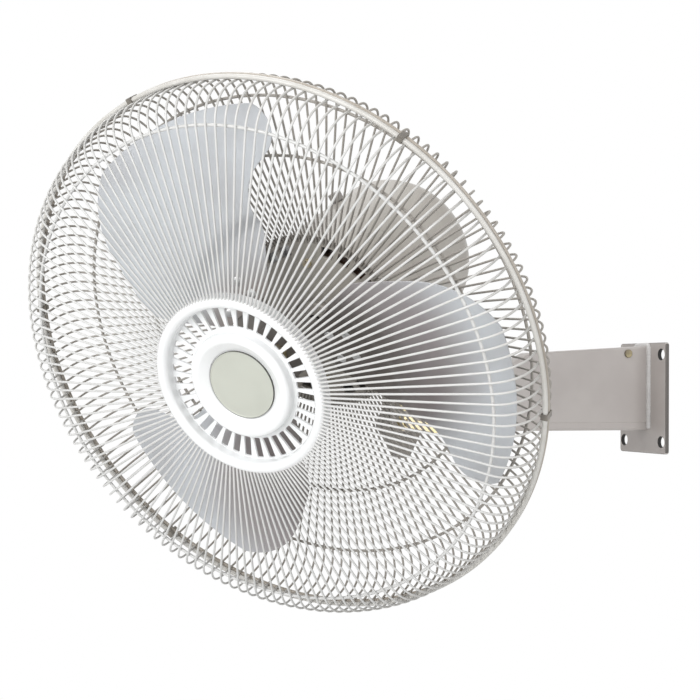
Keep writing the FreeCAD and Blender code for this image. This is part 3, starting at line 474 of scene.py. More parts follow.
@dataclass(frozen=True)
class Turned(Finish):
    """Metal or plastic with turning lines round the fan's axis, pitch metres apart."""

    octaves: float = 3.0
    grit: float = 0.1
    depth: float = 0.000012
    pitch: float = 0.0004
    ridge: float = 0.06

    def paint(self, graph: Graph) -> Inputs:
        """Return the shader inputs that change over the surface.

        Args:
            graph: Graph of the material.

        Returns:
            Inputs by name.
        """
        turns = graph.radius(STANCE.axis) * (math.tau / self.pitch)
        lines = graph.node("ShaderNodeMath", {"operation": "SINE"}, {0: turns})
        drift = graph.noise(self.mottle, self.octaves)
        return {"Base Color": drift.step(*self.fade).blend(self.colour, self.shade),
                "Roughness": self.rough + lines * self.ridge + (drift - 0.5) * self.grit,
                "Normal": graph.bump(lines * 0.5 + 0.5, self.depth)}


@dataclass(frozen=True)
class DarkEdgedPlate(Finish):
    """Coated plate whose edge faces, beyond half its width and height, are coloured near black."""

    half_w: float = 0.0466
    half_h: float = 0.0646
    fringe: float = 0.0003
    edge: Colour = (0.10, 0.09, 0.082)

    def paint(self, graph: Graph) -> Inputs:
        """Return the shader inputs that change over the surface.

        Args:
            graph: Graph of the material.

        Returns:
            Inputs by name.
        """
        values = super().paint(graph)
        for axis, half in (((1.0, 0.0, 0.0), self.half_w), ((0.0, 0.0, 1.0), self.half_h)):
            # near-black band on the edge faces
            rim = (graph.place() * axis).length().step(half - self.fringe, half)
            values["Base Color"] = rim.blend(values["Base Color"], self.edge)
        return values


@dataclass(frozen=True)
class Disc(Turned):
    """Turned disc with a painted shadow along its rim, where it drops into its seat."""

    rim: float = 0.0353
    fringe: float = 0.0003
    # line: colour of the painted shadow round the rim
    line: Colour = (0.10, 0.10, 0.09)

    def paint(self, graph: Graph) -> Inputs:
        """Return the shader inputs that change over the surface.

        Args:
            graph: Graph of the material.

        Returns:
            Inputs by name.
        """
        values = super().paint(graph)
        # painted shadow: a dark ring at the disc's outer edge
        rim = graph.radius(STANCE.axis).step(self.rim, self.rim + self.fringe)
        values["Base Color"] = rim.blend(values["Base Color"], self.line)
        return values


@dataclass(frozen=True)
class Windings(Finish):
    """Varnished turns of wire round a slot."""

    wear: float = 0.1
    depth: float = 0.0003
    turns: float = 380.0
    wander: float = 1.5

    def paint(self, graph: Graph) -> Inputs:
        """Return the shader inputs that change over the surface.

        Args:
            graph: Graph of the material.

        Returns:
            Inputs by name.
        """
        turns = graph.node("ShaderNodeTexWave", {"bands_direction": "DIAGONAL"},
                           {"Vector": graph.place(), "Scale": self.turns,
                            "Distortion": self.wander}, "Fac")
        return {"Base Color": turns.blend(self.shade, self.colour),
                "Roughness": self.rough + turns * self.wear,
                "Normal": graph.bump(turns, self.depth)}


class Coat(Enum):
    """Every finish used on the fan: its name, colour, shade, roughness and what differs."""

    BRACKET = Finish("bracket_grey", (0.512, 0.476, 0.454), (0.456, 0.42, 0.402), 0.38, coat=0.25)
    PLATE = DarkEdgedPlate("plate_grey", (0.512, 0.476, 0.454), (0.456, 0.42, 0.402), 0.38, coat=0.25)
    # painted highlight: the weld is coated like the bracket but given a lighter grey, for the light
    # along its round bead
    WELD = Finish("weld_grey", (0.72, 0.705, 0.695), (0.63, 0.615, 0.605), 0.34, coat=0.3,
                  mottle=80.0)
    # painted shade: near-black walls in the plate's bolt holes, standing in for the shade inside
    # them
    HOLE_SHADE = Finish("bare_hole", (0.03, 0.028, 0.026), (0.015, 0.014, 0.013), 0.6)
    # painted shade: the neck's grey is darker than the bracket's, for the shade it sits in under the
    # motor
    SHADED_NECK = Finish("neck_grey", (0.33, 0.31, 0.29), (0.26, 0.24, 0.22), 0.5,
                  grain=450.0, depth=0.0002)
    MOTOR = Finish("motor_grey", (0.435, 0.408, 0.366), (0.38, 0.352, 0.315), 0.36, coat=0.3)
    WIRE = WireCoat("guard_white", (0.63, 0.63, 0.62), (0.57, 0.565, 0.55), 0.36, coat=0.15,
                    outer_tone=(0.46, 0.445, 0.415))
    # painted shade: darker copy of the guard white for the rear wires and rings, whose side in view
    # faces away from the light
    SHADED_REAR_WIRE = WireCoat("guard_shaded", (0.41, 0.386, 0.353), (0.343, 0.319, 0.286), 0.45,
                         coat=0.1, outer_tone=(0.34, 0.315, 0.28))
    HOOP = Finish("hoop_white", (0.64, 0.63, 0.605), (0.55, 0.535, 0.50), 0.38, coat=0.2,
                  mottle=30.0)
    # painted shade: darker copy of the front hoop for the rear hoop
    SHADED_REAR_HOOP = Finish("hoop_shaded", (0.46, 0.42, 0.37), (0.39, 0.35, 0.30), 0.4, coat=0.1,
                       mottle=30.0)
    CLIP = Plated("clip_dark", (0.26, 0.24, 0.21), (0.19, 0.175, 0.155), 0.45, metal=0.5)
    CAP = Finish("cap_white", (0.84, 0.85, 0.855), (0.80, 0.81, 0.81), 0.22, coat=0.5,
                 grain=1200.0, depth=0.000008)
    BADGE = Disc("badge_grey", (0.543, 0.558, 0.495), (0.495, 0.509, 0.451), 0.5, metal=0.15)
    BLADE = BladePaint("blade_silver", (0.365, 0.338, 0.345), (0.31, 0.28, 0.265), 0.42,
                       metal=0.2)
    HUB = Finish("hub_casting", (0.20, 0.185, 0.17), (0.145, 0.13, 0.12), 0.5, metal=0.3,
                 grain=420.0, depth=0.00012)
    ALUMINIUM = Turned("rotor_aluminium", (0.62, 0.62, 0.62), (0.52, 0.52, 0.52), 0.38,
                       metal=0.9, pitch=0.0007)
    STEEL = Turned("steel", (0.55, 0.55, 0.55), (0.46, 0.46, 0.46), 0.28, metal=1.0)
    ZINC = Plated("zinc", (0.66, 0.58, 0.36), (0.58, 0.52, 0.44), 0.34, metal=0.85)
    LEVER = Plated("zinc_lever", (0.70, 0.60, 0.34), (0.62, 0.54, 0.40), 0.32, metal=0.85)
    SCREW = Plated("screw_aged", (0.34, 0.29, 0.18), (0.22, 0.19, 0.13), 0.42, metal=0.7)
    CAST = Finish("cast_zinc", (0.50, 0.50, 0.50), (0.42, 0.42, 0.42), 0.48, metal=0.9,
                  grain=420.0, depth=0.00015)
    COPPER = Windings("copper", (0.16, 0.07, 0.035), (0.05, 0.022, 0.012), 0.35, metal=0.5,
                      coat=0.4)
    NYLON = Finish("nylon", (0.80, 0.78, 0.72), (0.74, 0.71, 0.63), 0.5)
    KNOB = Finish("knob_plastic", (0.34, 0.32, 0.30), (0.29, 0.27, 0.26), 0.45,
                  grain=500.0, depth=0.0001)
    CASE = Finish("capacitor_case", (0.76, 0.76, 0.74), (0.70, 0.70, 0.68), 0.42)
    RUBBER = Finish("gland_rubber", (0.035, 0.035, 0.035), (0.055, 0.053, 0.05), 0.62,
                    grain=700.0, depth=0.00008)

    @property
    def material(self) -> bpy.types.Material:
        """Material of the finish."""
        return self.value.material()


# ---------------------------------------------------------------- outlines
def rounded(corners: Sequence[Corner], closed: bool = False, steps: int = 6) -> list[Pair]:
    """Round the corners of a plane outline.

    Args:
        corners: Points as (x, y, radius of the corner).
        closed: Whether the last point joins the first.
        steps: Segments in a rounded corner.

    Returns:
        Points of the rounded outline.
    """
    made: list[Pair] = []
    for k, (x, y, radius) in enumerate(corners):
        if radius <= 0 or (not closed and k in (0, len(corners) - 1)):
            made.append((x, y))
            continue
        here = Vector((x, y))
        back = (Vector(corners[k - 1][:2]) - here).normalized()
        ahead = (Vector(corners[(k + 1) % len(corners)][:2]) - here).normalized()
        half = back.angle(ahead) / 2
        centre = here + (back + ahead).normalized() * (radius / math.sin(half))
        first = here + back * (radius / math.tan(half)) - centre
        last = here + ahead * (radius / math.tan(half)) - centre
        start = math.atan2(first.y, first.x)
        sweep = (math.atan2(last.y, last.x) - start + math.pi) % math.tau - math.pi
        for i in range(steps + 1):
            angle = start + sweep * i / steps
            made.append((centre.x + radius * math.cos(angle), centre.y + radius * math.sin(angle)))
    return made


def mirrored(half: Sequence[Corner]) -> list[Corner]:
    """Return half an outline followed by its mirror image across x = 0."""
    return [*half, *((-x, y, radius) for x, y, radius in reversed(half))]


def circle(radius: float, steps: int, centre: Pair = (0.0, 0.0)) -> list[Pair]:
    """Return the points of a circle in order."""
    return [(centre[0] + radius * math.cos(math.tau * k / steps),
             centre[1] + radius * math.sin(math.tau * k / steps)) for k in range(steps)]


def inset(loop: Sequence[Pair], distance: float) -> list[Pair]:
    """Move an anticlockwise loop inwards.

    Args:
        loop: Points of the loop.
        distance: How far, negative for outwards.

    Returns:
        The moved loop.
    """
    moved = []
    for k, (x, y) in enumerate(loop):
        back, ahead = Vector(loop[k - 1]), Vector(loop[(k + 1) % len(loop)])
        here = Vector((x, y))
        one = (here - back).normalized()
        two = (ahead - here).normalized()
        normal = Vector((-one.y - two.y, one.x + two.x)).normalized()
        spread = max(0.5, normal.dot(Vector((-one.y, one.x))))
        moved.append(tuple(here + normal * (distance / spread)))
    return moved


def ease(value: float) -> float:
    """Return a smooth change from 0 to 1 while a value goes from 0 to 1."""
    share = min(1.0, max(0.0, value))
    return share * share * (3 - 2 * share)


# ---------------------------------------------------------------- mesh building
class Edge(Enum):
    """How the normals of a piece meet at its edges, with the angle of a sharp one."""

    SOFT = 0
    FOLDED = 32


def put(name: str, data: bpy.types.ID) -> bpy.types.Object:
    """Add an object to the scene.

    Args:
        name: Name of the object.
        data: Its mesh, light or camera.

    Returns:
        The object.
    """
    made = bpy.data.objects.new(name, data)
    bpy.context.scene.collection.objects.link(made)
    return made


class MeshDraft:
    """Points and faces of one piece in millimetres, gathered before it becomes an object."""

    TIP = 0.6  # share of a wire's radius left at its very end, and length of that end
    LUMP = (-0.92, -0.5, 0.0, 0.5, 0.92)  # heights of a lump's loops, for a half height of 1
    HOLE_EDGE = 0.4  # largest radius of a hole's edges
    ROUND = ((1.0, 0.0), (0.3, 0.3), (0.0, 1.0))  # inset and height of a rounded edge

    def __init__(self, node: str = "", name: str = "") -> None:
        """Start an empty piece.

        Args:
            node: Node of the frame that the piece stands for, if any.
            name: Name of the object, by default made from the node's.
        """
        self.node = node
        self.name = name or node + "_fine"
        self.points: list[Vector] = []
        self.faces: list[tuple[int, ...]] = []
        self.marks: list[int] = []

    def row(self, points: Sequence[Sequence[float]]) -> list[int]:
        """Add points.

        Args:
            points: Places in the piece's frame.

        Returns:
            Their numbers.
        """
        start = len(self.points)
        self.points.extend(Vector(point) for point in points)
        return list(range(start, len(self.points)))

    def face(self, corners: Sequence[int], mark: int = 0) -> None:
        """Add a face with the numbers of its corners and of its finish."""
        self.faces.append(tuple(corners))
        self.marks.append(mark)

    def bridge(self, first: Sequence[int], second: Sequence[int], mark: int = 0) -> None:
        """Join two loops of equal length with faces.

        Args:
            first: One loop.
            second: The next loop.
            mark: Number of the finish.
        """
        for k in range(len(first)):
            j = (k + 1) % len(first)
            self.face((first[k], first[j], second[j], second[k]), mark)

    def loft(self, rows: Sequence[Sequence[Sequence[float]]], around: bool = False) -> None:
        """Skin a series of loops of points.

        Args:
            rows: Loops of equal length.
            around: Whether the last loop joins the first; the ends are filled otherwise.
        """
        made = [self.row(points) for points in rows]
        for first, second in zip(made, made[1:] + (made[:1] if around else [])):
            self.bridge(first, second)
        if not around:
            self.face(made[0][::-1])
            self.face(made[-1])

    def lathe(self, profile: Sequence[Pair], steps: int) -> None:
        """Turn a closed profile of radii and heights round the Z axis in steps."""
        self.loft([[(r * c, r * s, z) for r, z in profile] for c, s in circle(1.0, steps)],
                  around=True)

    def tube(self, path: Sequence[Vector], radius: float, side: Vector, sides: int = 10) -> None:
        """Draw a round wire with softened ends along a path.

        Args:
            path: Points of its middle line.
            radius: Radius of the wire.
            side: Direction square to the path, roughly.
            sides: Faces round it.
        """
        last = len(path) - 1
        rows = []
        for k, point in enumerate(path):
            ahead = (path[min(k + 1, last)] - path[max(k - 1, 0)]).normalized()
            across = (side - ahead * ahead.dot(side)).normalized()
            up = ahead.cross(across)
            ring = [(across * c + up * s) * radius for c, s in circle(1.0, sides)]
            if 0 < k < last:
                rows.append([point + out for out in ring])
                continue
            inward = ahead * (radius * self.TIP * (-1 if k else 1))
            ends = [[point + out * self.TIP for out in ring],
                    [point + inward + out for out in ring]]
            rows += ends[::-1] if k else ends
        self.loft(rows)

    def blob(self, centre: Point, sizes: Point, place: Matrix = Matrix.Identity(4),
             sides: int = 8) -> None:
        """Add a small rounded lump, such as a weld spot.

        Args:
            centre: Its middle, before the placing.
            sizes: Half lengths along the three axes.
            place: Placing that follows.
            sides: Segments in a turn.
        """
        rows = []
        for lift in self.LUMP:
            wide = math.sqrt(1 - lift * lift)
            rows.append([place @ (Vector(centre) + Vector((sizes[0] * wide * x, sizes[1] * wide * y,
                                                           sizes[2] * lift)))
                         for x, y in circle(1.0, sides)])
        self.loft(rows)

    def slab(self, outline: Sequence[Pair], low: float, high: float,
             holes: Sequence[Sequence[Pair]], edge: float, hole_mark: int = 0,
             lay: Callable[[float, float, float], Point] = lambda x, y, z: (x, y, z)) -> None:
        """Add a flat plate with rounded edges.

        Args:
            outline: Outer loop, anticlockwise.
            low: Height of its lower face.
            high: Height of its upper face.
            holes: Loops that are cut out, anticlockwise.
            edge: Radius of the outer edges.
            hole_mark: Number of the finish inside the holes.
            lay: Where a point of the plate goes in the piece's frame.
        """
        levels = [(share, low + edge * rise) for share, rise in self.ROUND]
        levels += [(share, high - edge * rise) for share, rise in reversed(self.ROUND)]
        tops: list[list[int]] = []
        bottoms: list[list[int]] = []
        for number, loop in enumerate([outline, *holes]):
            size = -min(edge, self.HOLE_EDGE) if number else edge
            rows = [self.row([lay(x, y, height) for x, y in inset(loop, size * share)])
                    for share, height in levels]
            for first, second in zip(rows, rows[1:]):
                self.bridge(first, second, hole_mark if number else 0)
            bottoms.append(rows[0])
            tops.append(rows[-1])
        for loops in (bottoms, tops):
            flat = [number for loop in loops for number in loop]
            outlines = [[self.points[i] for i in loop] for loop in loops]
            for triangle in tessellate_polygon(outlines):
                self.face([flat[i] for i in triangle])

    def build(self, finishes: Sequence[Coat], place: Matrix, edges: Edge) -> bpy.types.Object:
        """Turn the draft into an object.

        Args:
            finishes: Finishes in the order of the marks.
            place: Placing of the draft in the fan, in metres.
            edges: How its normals meet.

        Returns:
            The object.
        """
        mesh = bpy.data.meshes.new(self.name)
        mesh.from_pydata([place @ (point * MM) for point in self.points], [], self.faces)
        mesh.polygons.foreach_set("material_index", self.marks)
        work = bmesh.new()
        work.from_mesh(mesh)
        bmesh.ops.recalc_face_normals(work, faces=work.faces)
        for item in work.faces:
            item.smooth = True
        work.to_mesh(mesh)
        work.free()
        for finish in finishes:
            mesh.materials.append(finish.material)
        made = put(self.name, mesh)
        if edges is Edge.FOLDED:
            mesh.set_sharp_from_angle(angle=math.radians(edges.value))
            made.modifiers.new("even_normals", "WEIGHTED_NORMAL").keep_sharp = True
        return made

    def settle(self, body: str, slot: str, finishes: Sequence[Coat], place: Matrix,
               edges: Edge = Edge.FOLDED) -> bpy.types.Object:
        """Turn the draft into a piece of the fan.

        Args:
            body: Body that it moves with.
            slot: Material slot that its finish stands for; not used.
            finishes: Finishes in the order of the marks.
            place: Placing of the draft in the fan, in metres.
            edges: How its normals meet.

        Returns:
            The piece.
        """
        piece = self.build(finishes, place, edges)
        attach(piece, body)
        if self.node:
            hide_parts(self.node)
        return piece


# ---------------------------------------------------------------- sub-assemblies
@dataclass(frozen=True)
class Dressing:
    """Node of the frame with its finish and the chamfer put on its edges, in millimetres."""

    node: str
    finish: Coat
    soften: float = 0.0
    merge: float = 0.000002
    sharp: float = 38.0
    segments: int = 2

    def apply(self) -> bpy.types.Object:
        """Give the node its finish and its chamfer.

        Returns:
            The node's object.
        """
        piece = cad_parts[self.node]
        piece.data.materials.clear()
        piece.data.materials.append(self.finish.material)
        if self.soften:
            piece.modifiers.new("join", "WELD").merge_threshold = self.merge
            bevel = piece.modifiers.new("soften", "BEVEL")
            bevel.width = self.soften * MM
            bevel.segments = self.segments
            bevel.limit_method = "ANGLE"
            bevel.angle_limit = math.radians(self.sharp)
            bevel.use_clamp_overlap = False
            piece.modifiers.new("even_normals", "WEIGHTED_NORMAL").keep_sharp = True
        return piece


@dataclass(frozen=True)
class Assembly:
    """Sub-assembly of the fan; its sizes are in millimetres and degrees."""

    dressed: tuple[Dressing, ...] = ()

    def draw(self) -> list[bpy.types.Object]:
        """Draw the pieces that take the place of nodes or are added to them."""
        return []

    def build(self) -> list[bpy.types.Object]:
        """Draw the finer pieces and dress the other nodes."""
        return self.draw() + [item.apply() for item in self.dressed]


@dataclass(frozen=True)
class Bracket(Assembly):
    """Wall plate, folded sheet arm, the weld between them and what is bolted to the arm."""

    dressed: tuple[Dressing, ...] = (
        Dressing("tilt_bolt", Coat.ZINC, 0.4), Dressing("tilt_nut", Coat.ZINC, 0.4),
        Dressing("tilt_washers", Coat.ZINC, 0.4), Dressing("clamp_bolt", Coat.ZINC, 0.4),
        Dressing("clamp_washers", Coat.ZINC, 0.4), Dressing("earth_screw", Coat.SCREW, 0.4),
        Dressing("tilt_lever", Coat.LEVER, 0.5))
    plate_w: float = 94.0
    plate_h: float = 130.0
    plate_t: float = 5.0
    plate_corner: float = 3.5
    plate_edge: float = 0.7
    span_x: float = 76.0
    span_z: float = 102.0
    hole: float = 6.5
    arm_w: float = 24.0
    sheet: float = 2.5
    sunk: float = 0.5
    top_wall: float = 61.5
    top_knee: float = 51.0
    knee_out: float = 165.0
    knee_cuts: tuple[float, ...] = (-4.0, -1.0, 1.0, 4.0)
    slope_out: float = 245.0
    near_cuts: tuple[float, ...] = (12.0, 40.0, 90.0, 140.0)
    far_cuts: tuple[float, ...] = (195.0, 215.0, 235.0, 243.0, 247.0)
    web_end: float = 252.0
    bottom: float = -38.0
    lip: float = 5.0
    fold: float = 3.0
    fold_inside: float = 0.6
    cut_edge: float = 0.4
    crease: float = -28.5
    crease_deep: float = 0.6
    crease_high: float = 0.5
    crease_round: float = 0.2
    crease_end: float = 235.0
    crease_fade: float = 40.0
    crease_least: float = 0.001
    cheek: float = 16.0
    toe: float = 12.0
    tilt_bore: float = 5.0
    clamp_bore: float = 4.0
    clamp_drop: float = 24.0
    fold_steps: int = 5
    cheek_steps: int = 14
    hole_steps: int = 40
    tilt_steps: int = 32
    clamp_steps: int = 28
    web_overlap: float = 0.01
    cheek_short: float = 0.1
    bead: float = 3.4
    bead_out: float = 1.2
    bead_sunk: float = 0.2
    bead_foot: float = 2.0
    bead_corner: float = 3.2
    bead_pitch: float = 1.2
    bead_end: float = 0.5
    bead_steps: int = 8
    bead_sides: int = 10
    ripple: float = 0.22
    ripple_turn: float = 2.1
    unrest: float = 0.08
    seed: int = 11

    def top(self, out: float) -> float:
        """Height of the arm's top edge.

        Args:
            out: Distance from the wall.

        Returns:
            The height.
        """
        low = self.cheek - STANCE.drop
        if out <= self.knee_out:
            share = (out - self.plate_t) / (self.knee_out - self.plate_t)
            return self.top_wall + (self.top_knee - self.top_wall) * share
        share = min(1.0, (out - self.knee_out) / (self.slope_out - self.knee_out))
        return self.top_knee + (low - self.top_knee) * share

    def plate(self) -> bpy.types.Object:
        """Draw the wall plate with its bolt holes.

        Returns:
            The object.
        """
        corners = [(x * self.plate_w / 2, z * self.plate_h / 2, self.plate_corner)
                   for x, z in CORNERS]
        holes = [circle(self.hole, self.hole_steps, (x * self.span_x / 2, z * self.span_z / 2))
                 for x in (-1, 1) for z in (-1, 1)]
        draft = MeshDraft("wall_plate")
        # the holes' walls take the painted shade, mark 1
        draft.slab(rounded(corners, closed=True), 0.0, self.plate_t, holes, self.plate_edge, 1,
                   lambda x, y, h: (x, -h, y))
        return draft.settle("bracket", "bracket_grey", [Coat.PLATE, Coat.HOLE_SHADE],
                            Matrix.Identity(4))

    def section(self, out: float) -> list[Point]:
        """Cross section of the folded arm, with a crease pressed along each side.

        Args:
            out: Distance from the wall.

        Returns:
            Points of the section.
        """
        half, top, low = self.arm_w / 2, self.top(out), self.bottom
        inner, ledge, brow = half - self.sheet, low + self.sheet, top - self.sheet
        gap = inner - self.lip
        faded = min(1.0, max(self.crease_least, (self.crease_end - out) / self.crease_fade))
        pressed = self.crease_deep * faded - half
        outside = [(-gap, low, self.cut_edge), (pressed, low, self.fold),
                   (pressed, self.crease - self.crease_high, self.crease_round),
                   (-half, self.crease, self.crease_round), (-half, top, self.fold)]
        inside = [(gap, ledge, self.cut_edge), (inner, ledge, self.fold_inside),
                  (inner, brow, self.fold_inside)]
        loop = rounded(mirrored(outside) + mirrored(inside), True, self.fold_steps)
        return [(x, -out, h) for x, h in loop]

    def arm(self) -> bpy.types.Object:
        """Draw the folded arm and its two cheeks.

        Returns:
            The object.
        """
        draft = MeshDraft("wall_arm")
        knee = [self.knee_out + step for step in self.knee_cuts]
        stations = [self.plate_t - self.sunk, *self.near_cuts, *knee, *self.far_cuts, self.web_end]
        draft.loft([self.section(out) for out in stations])
        start, centre = self.web_end - self.web_overlap, -STANCE.drop
        tip = STANCE.reach + self.cheek
        side = rounded([(start, self.bottom, 0), (tip, self.bottom, self.toe),
                        (tip, centre + self.cheek, self.cheek - self.cheek_short),
                        (start, centre + self.cheek, 0)], True, self.cheek_steps)
        bores = [circle(self.tilt_bore, self.tilt_steps, (STANCE.reach, centre)),
                 circle(self.clamp_bore, self.clamp_steps,
                        (STANCE.reach, centre - self.clamp_drop))]
        half = self.arm_w / 2
        for low in (-half, half - self.sheet):
            draft.slab(side, low, low + self.sheet, bores, self.cut_edge,
                       lay=lambda u, v, h: (h, -u, v))
        return draft.settle("bracket", "bracket_grey", [Coat.BRACKET], Matrix.Identity(4))

    def weld(self) -> bpy.types.Object:
        """Draw the painted weld that runs round the arm's foot on the plate.

        Returns:
            The object.
        """
        half, high = self.arm_w / 2 + self.bead_out, self.top_wall + self.bead_sunk
        side = [(-half, self.bottom + self.bead_foot, 0), (-half, high, self.bead_corner)]
        corners = rounded(mirrored(side), steps=self.bead_steps)
        path: list[Pair] = [corners[0]]
        for one, two in zip(corners, corners[1:]):
            cuts = max(1, round(math.dist(one, two) / self.bead_pitch))
            path += [(one[0] + (two[0] - one[0]) * k / cuts, one[1] + (two[1] - one[1]) * k / cuts)
                     for k in range(1, cuts + 1)]
        rows = []
        chance = random.Random(self.seed)
        last = len(path) - 1
        for k, (x, h) in enumerate(path):
            back, ahead = path[max(k - 1, 0)], path[min(k + 1, last)]
            along = Vector((ahead[0] - back[0], 0.0, ahead[1] - back[1])).normalized()
            out = Vector((-along.z, 0.0, along.x))
            size = (self.bead * (self.bead_end if k in (0, last) else 1.0)
                    + self.ripple * math.sin(k * self.ripple_turn)
                    + chance.uniform(-self.unrest, self.unrest))
            middle = Vector((x, -self.plate_t + self.bead_sunk, h))
            rows.append([middle + out * size * c + Vector((0.0, -1.0, 0.0)) * size * s
                         for c, s in circle(1.0, self.bead_sides)])
        draft = MeshDraft(name="plate_weld")
        draft.loft(rows)
        # the weld's lighter finish is a painted highlight
        return draft.settle("bracket", "bracket_grey", [Coat.WELD], Matrix.Identity(4), Edge.SOFT)

    def draw(self) -> list[bpy.types.Object]:
        """Draw the plate, the arm and the weld."""
        return [self.plate(), self.arm(), self.weld()]


@dataclass(frozen=True)
class Neck(Assembly):
    """Tilting neck with the swivel pin, its link and the crank."""

    dressed: tuple[Dressing, ...] = (
        Dressing("neck", Coat.SHADED_NECK, 0.6), Dressing("swivel_pin", Coat.STEEL),
        Dressing("thrust_washer", Coat.NYLON), Dressing("link_stud", Coat.STEEL, 0.3),
        Dressing("oscillation_link", Coat.ZINC, 0.4), Dressing("crank", Coat.ZINC, 0.5))


@dataclass(frozen=True)
class Motor(Assembly):
    """Motor case with what is inside it and the plate that carries the guard."""

    dressed: tuple[Dressing, ...] = (
        Dressing("motor_front_shell", Coat.MOTOR, 0.5),
        Dressing("motor_rear_shell", Coat.MOTOR, 0.5), Dressing("end_shield", Coat.MOTOR, 0.5),
        Dressing("rear_guard_plate", Coat.MOTOR, 0.5),
        Dressing("stator_core", Coat.STEEL), Dressing("stator_windings", Coat.COPPER),
        Dressing("front_bearing", Coat.STEEL), Dressing("rear_bearing", Coat.STEEL),
        Dressing("gear_case", Coat.CAST), Dressing("run_capacitor", Coat.CASE),
        Dressing("cord_gland", Coat.RUBBER, 0.4), Dressing("clutch_knob", Coat.KNOB, 0.8),
        Dressing("rear_shell_screws", Coat.ZINC, 0.3), Dressing("guard_screws", Coat.ZINC, 0.3))


@dataclass(frozen=True)
class Half:
    """Course of the wires in one half of the guard, with its finishes.

    The sign tells on which side of the rim it lies. Level is where the straight part of a
    wire would meet the axis, and slope its rise for a millimetre of radius.
    """

    sign: int
    level: float
    slope: float
    bend: float
    inner: float
    rings: tuple[float, ...]
    wire: Coat
    hoop: Coat

    @property
    def stretch(self) -> float:
        """Length of a wire's straight part for a millimetre of radius."""
        return math.hypot(1.0, self.slope)

    def height(self, radius: float) -> float:
        """Return the height of a wire's straight part at a radius."""
        return self.level + self.slope * radius


class Side(Enum):
    """Half of the guard."""

    FRONT = Half(1, 85.6, -0.149, 35.0, 88.0, (255.4,), Coat.WIRE, Coat.HOOP)
    REAR = Half(-1, -112.5, 0.25, 33.0, 90.5, (190.0, 256.0), Coat.SHADED_REAR_WIRE, Coat.SHADED_REAR_HOOP)


@dataclass(frozen=True)
class Guard(Assembly):
    """Two halves of welded wire, their rings and the two hoops of the rim."""

    dressed: tuple[Dressing, ...] = (Dressing("rim_clips", Coat.CLIP, 0.3),)
    count: int = 150
    phase: float = 31.2
    wire: float = 2.3
    barrel: float = 285.7
    end_gap: float = 0.6
    rod: float = 3.2
    bite: float = 0.15
    rim: float = 289.2
    rim_rod: float = 5.0
    rim_apart: float = 5.6
    butt_at: float = -100.0
    ring_weld: Point = (1.9, 1.5, 0.9)
    rim_weld: Point = (0.7, 1.6, 1.5)
    ring_butt: Point = (1.9, 2.4, 1.9)
    rim_butt: Point = (2.7, 2.2, 2.7)
    bend_steps: int = 12
    ring_sides: int = 14
    ring_steps: int = 256
    rim_sides: int = 20
    rim_steps: int = 320
    butt_sides: int = 16

    def settle(self, draft: MeshDraft, finish: Coat) -> bpy.types.Object:
        """Turn a draft into a piece of the guard."""
        return draft.settle("head", "guard_white", [finish], STANCE.axis, Edge.SOFT)

    def wires(self, half: Half, node: str) -> bpy.types.Object:
        """Draw the wires of one half with their weld spots.

        Args:
            half: Half of the guard.
            node: Node that the wires stand for.

        Returns:
            The object.
        """
        path = rounded([(half.inner, half.height(half.inner), 0.0),
                        (self.barrel, half.height(self.barrel), half.bend),
                        (self.barrel, self.end_gap * half.sign, 0.0)], steps=self.bend_steps)
        under = self.wire / 2 * half.stretch
        at_rim = (self.barrel + self.wire / 2, 0.0, half.sign * self.rim_apart / 2)
        draft = MeshDraft(node)
        for k in range(self.count):
            turn = Matrix.Rotation(math.radians(self.phase) + math.tau * k / self.count, 4, "Z")
            draft.tube([turn @ Vector((r, 0.0, h)) for r, h in path], self.wire / 2,
                       turn @ Vector((0.0, 1.0, 0.0)))
            for radius in half.rings:
                draft.blob((radius, 0.0, half.height(radius) - under), self.ring_weld, turn)
            draft.blob(at_rim, self.rim_weld, turn)
        return self.settle(draft, half.wire)

    def rings(self, half: Half, node: str) -> bpy.types.Object:
        """Draw the rings that lie behind the wires of one half, with their butt welds.

        Args:
            half: Half of the guard.
            node: Node that the rings stand for.

        Returns:
            The object.
        """
        under = (self.wire / 2 + self.rod / 2 - self.bite) * half.stretch
        draft = MeshDraft(node)
        for radius in half.rings:
            height = half.height(radius) - under
            draft.lathe(circle(self.rod / 2, self.ring_sides, (radius, height)), self.ring_steps)
            draft.blob((radius, 0.0, height), self.ring_butt)
        return self.settle(draft, half.wire)

    def hoop(self, half: Half, node: str) -> bpy.types.Object:
        """Draw one hoop of the rim with the bead of its butt weld.

        Args:
            half: Half of the guard.
            node: Node that the hoop stands for.

        Returns:
            The object.
        """
        height = half.sign * self.rim_apart / 2
        draft = MeshDraft(node)
        draft.lathe(circle(self.rim_rod / 2, self.rim_sides, (self.rim, height)), self.rim_steps)
        turn = Matrix.Rotation(math.radians(self.butt_at), 4, "Z")
        draft.blob((self.rim, 0.0, height), self.rim_butt, turn, self.butt_sides)
        return self.settle(draft, half.hoop)

    def draw(self) -> list[bpy.types.Object]:
        """Draw the wires, the rings and the hoops of both halves.

        Returns:
            The pieces.
        """
        front, rear = Side.FRONT.value, Side.REAR.value
        return [self.wires(front, "front_guard_wires"), self.wires(rear, "rear_guard_wires"),
                self.rings(front, "front_guard_ring"), self.rings(rear, "rear_guard_rings"),
                self.hoop(front, "front_rim_hoop"), self.hoop(rear, "rear_rim_hoop")]


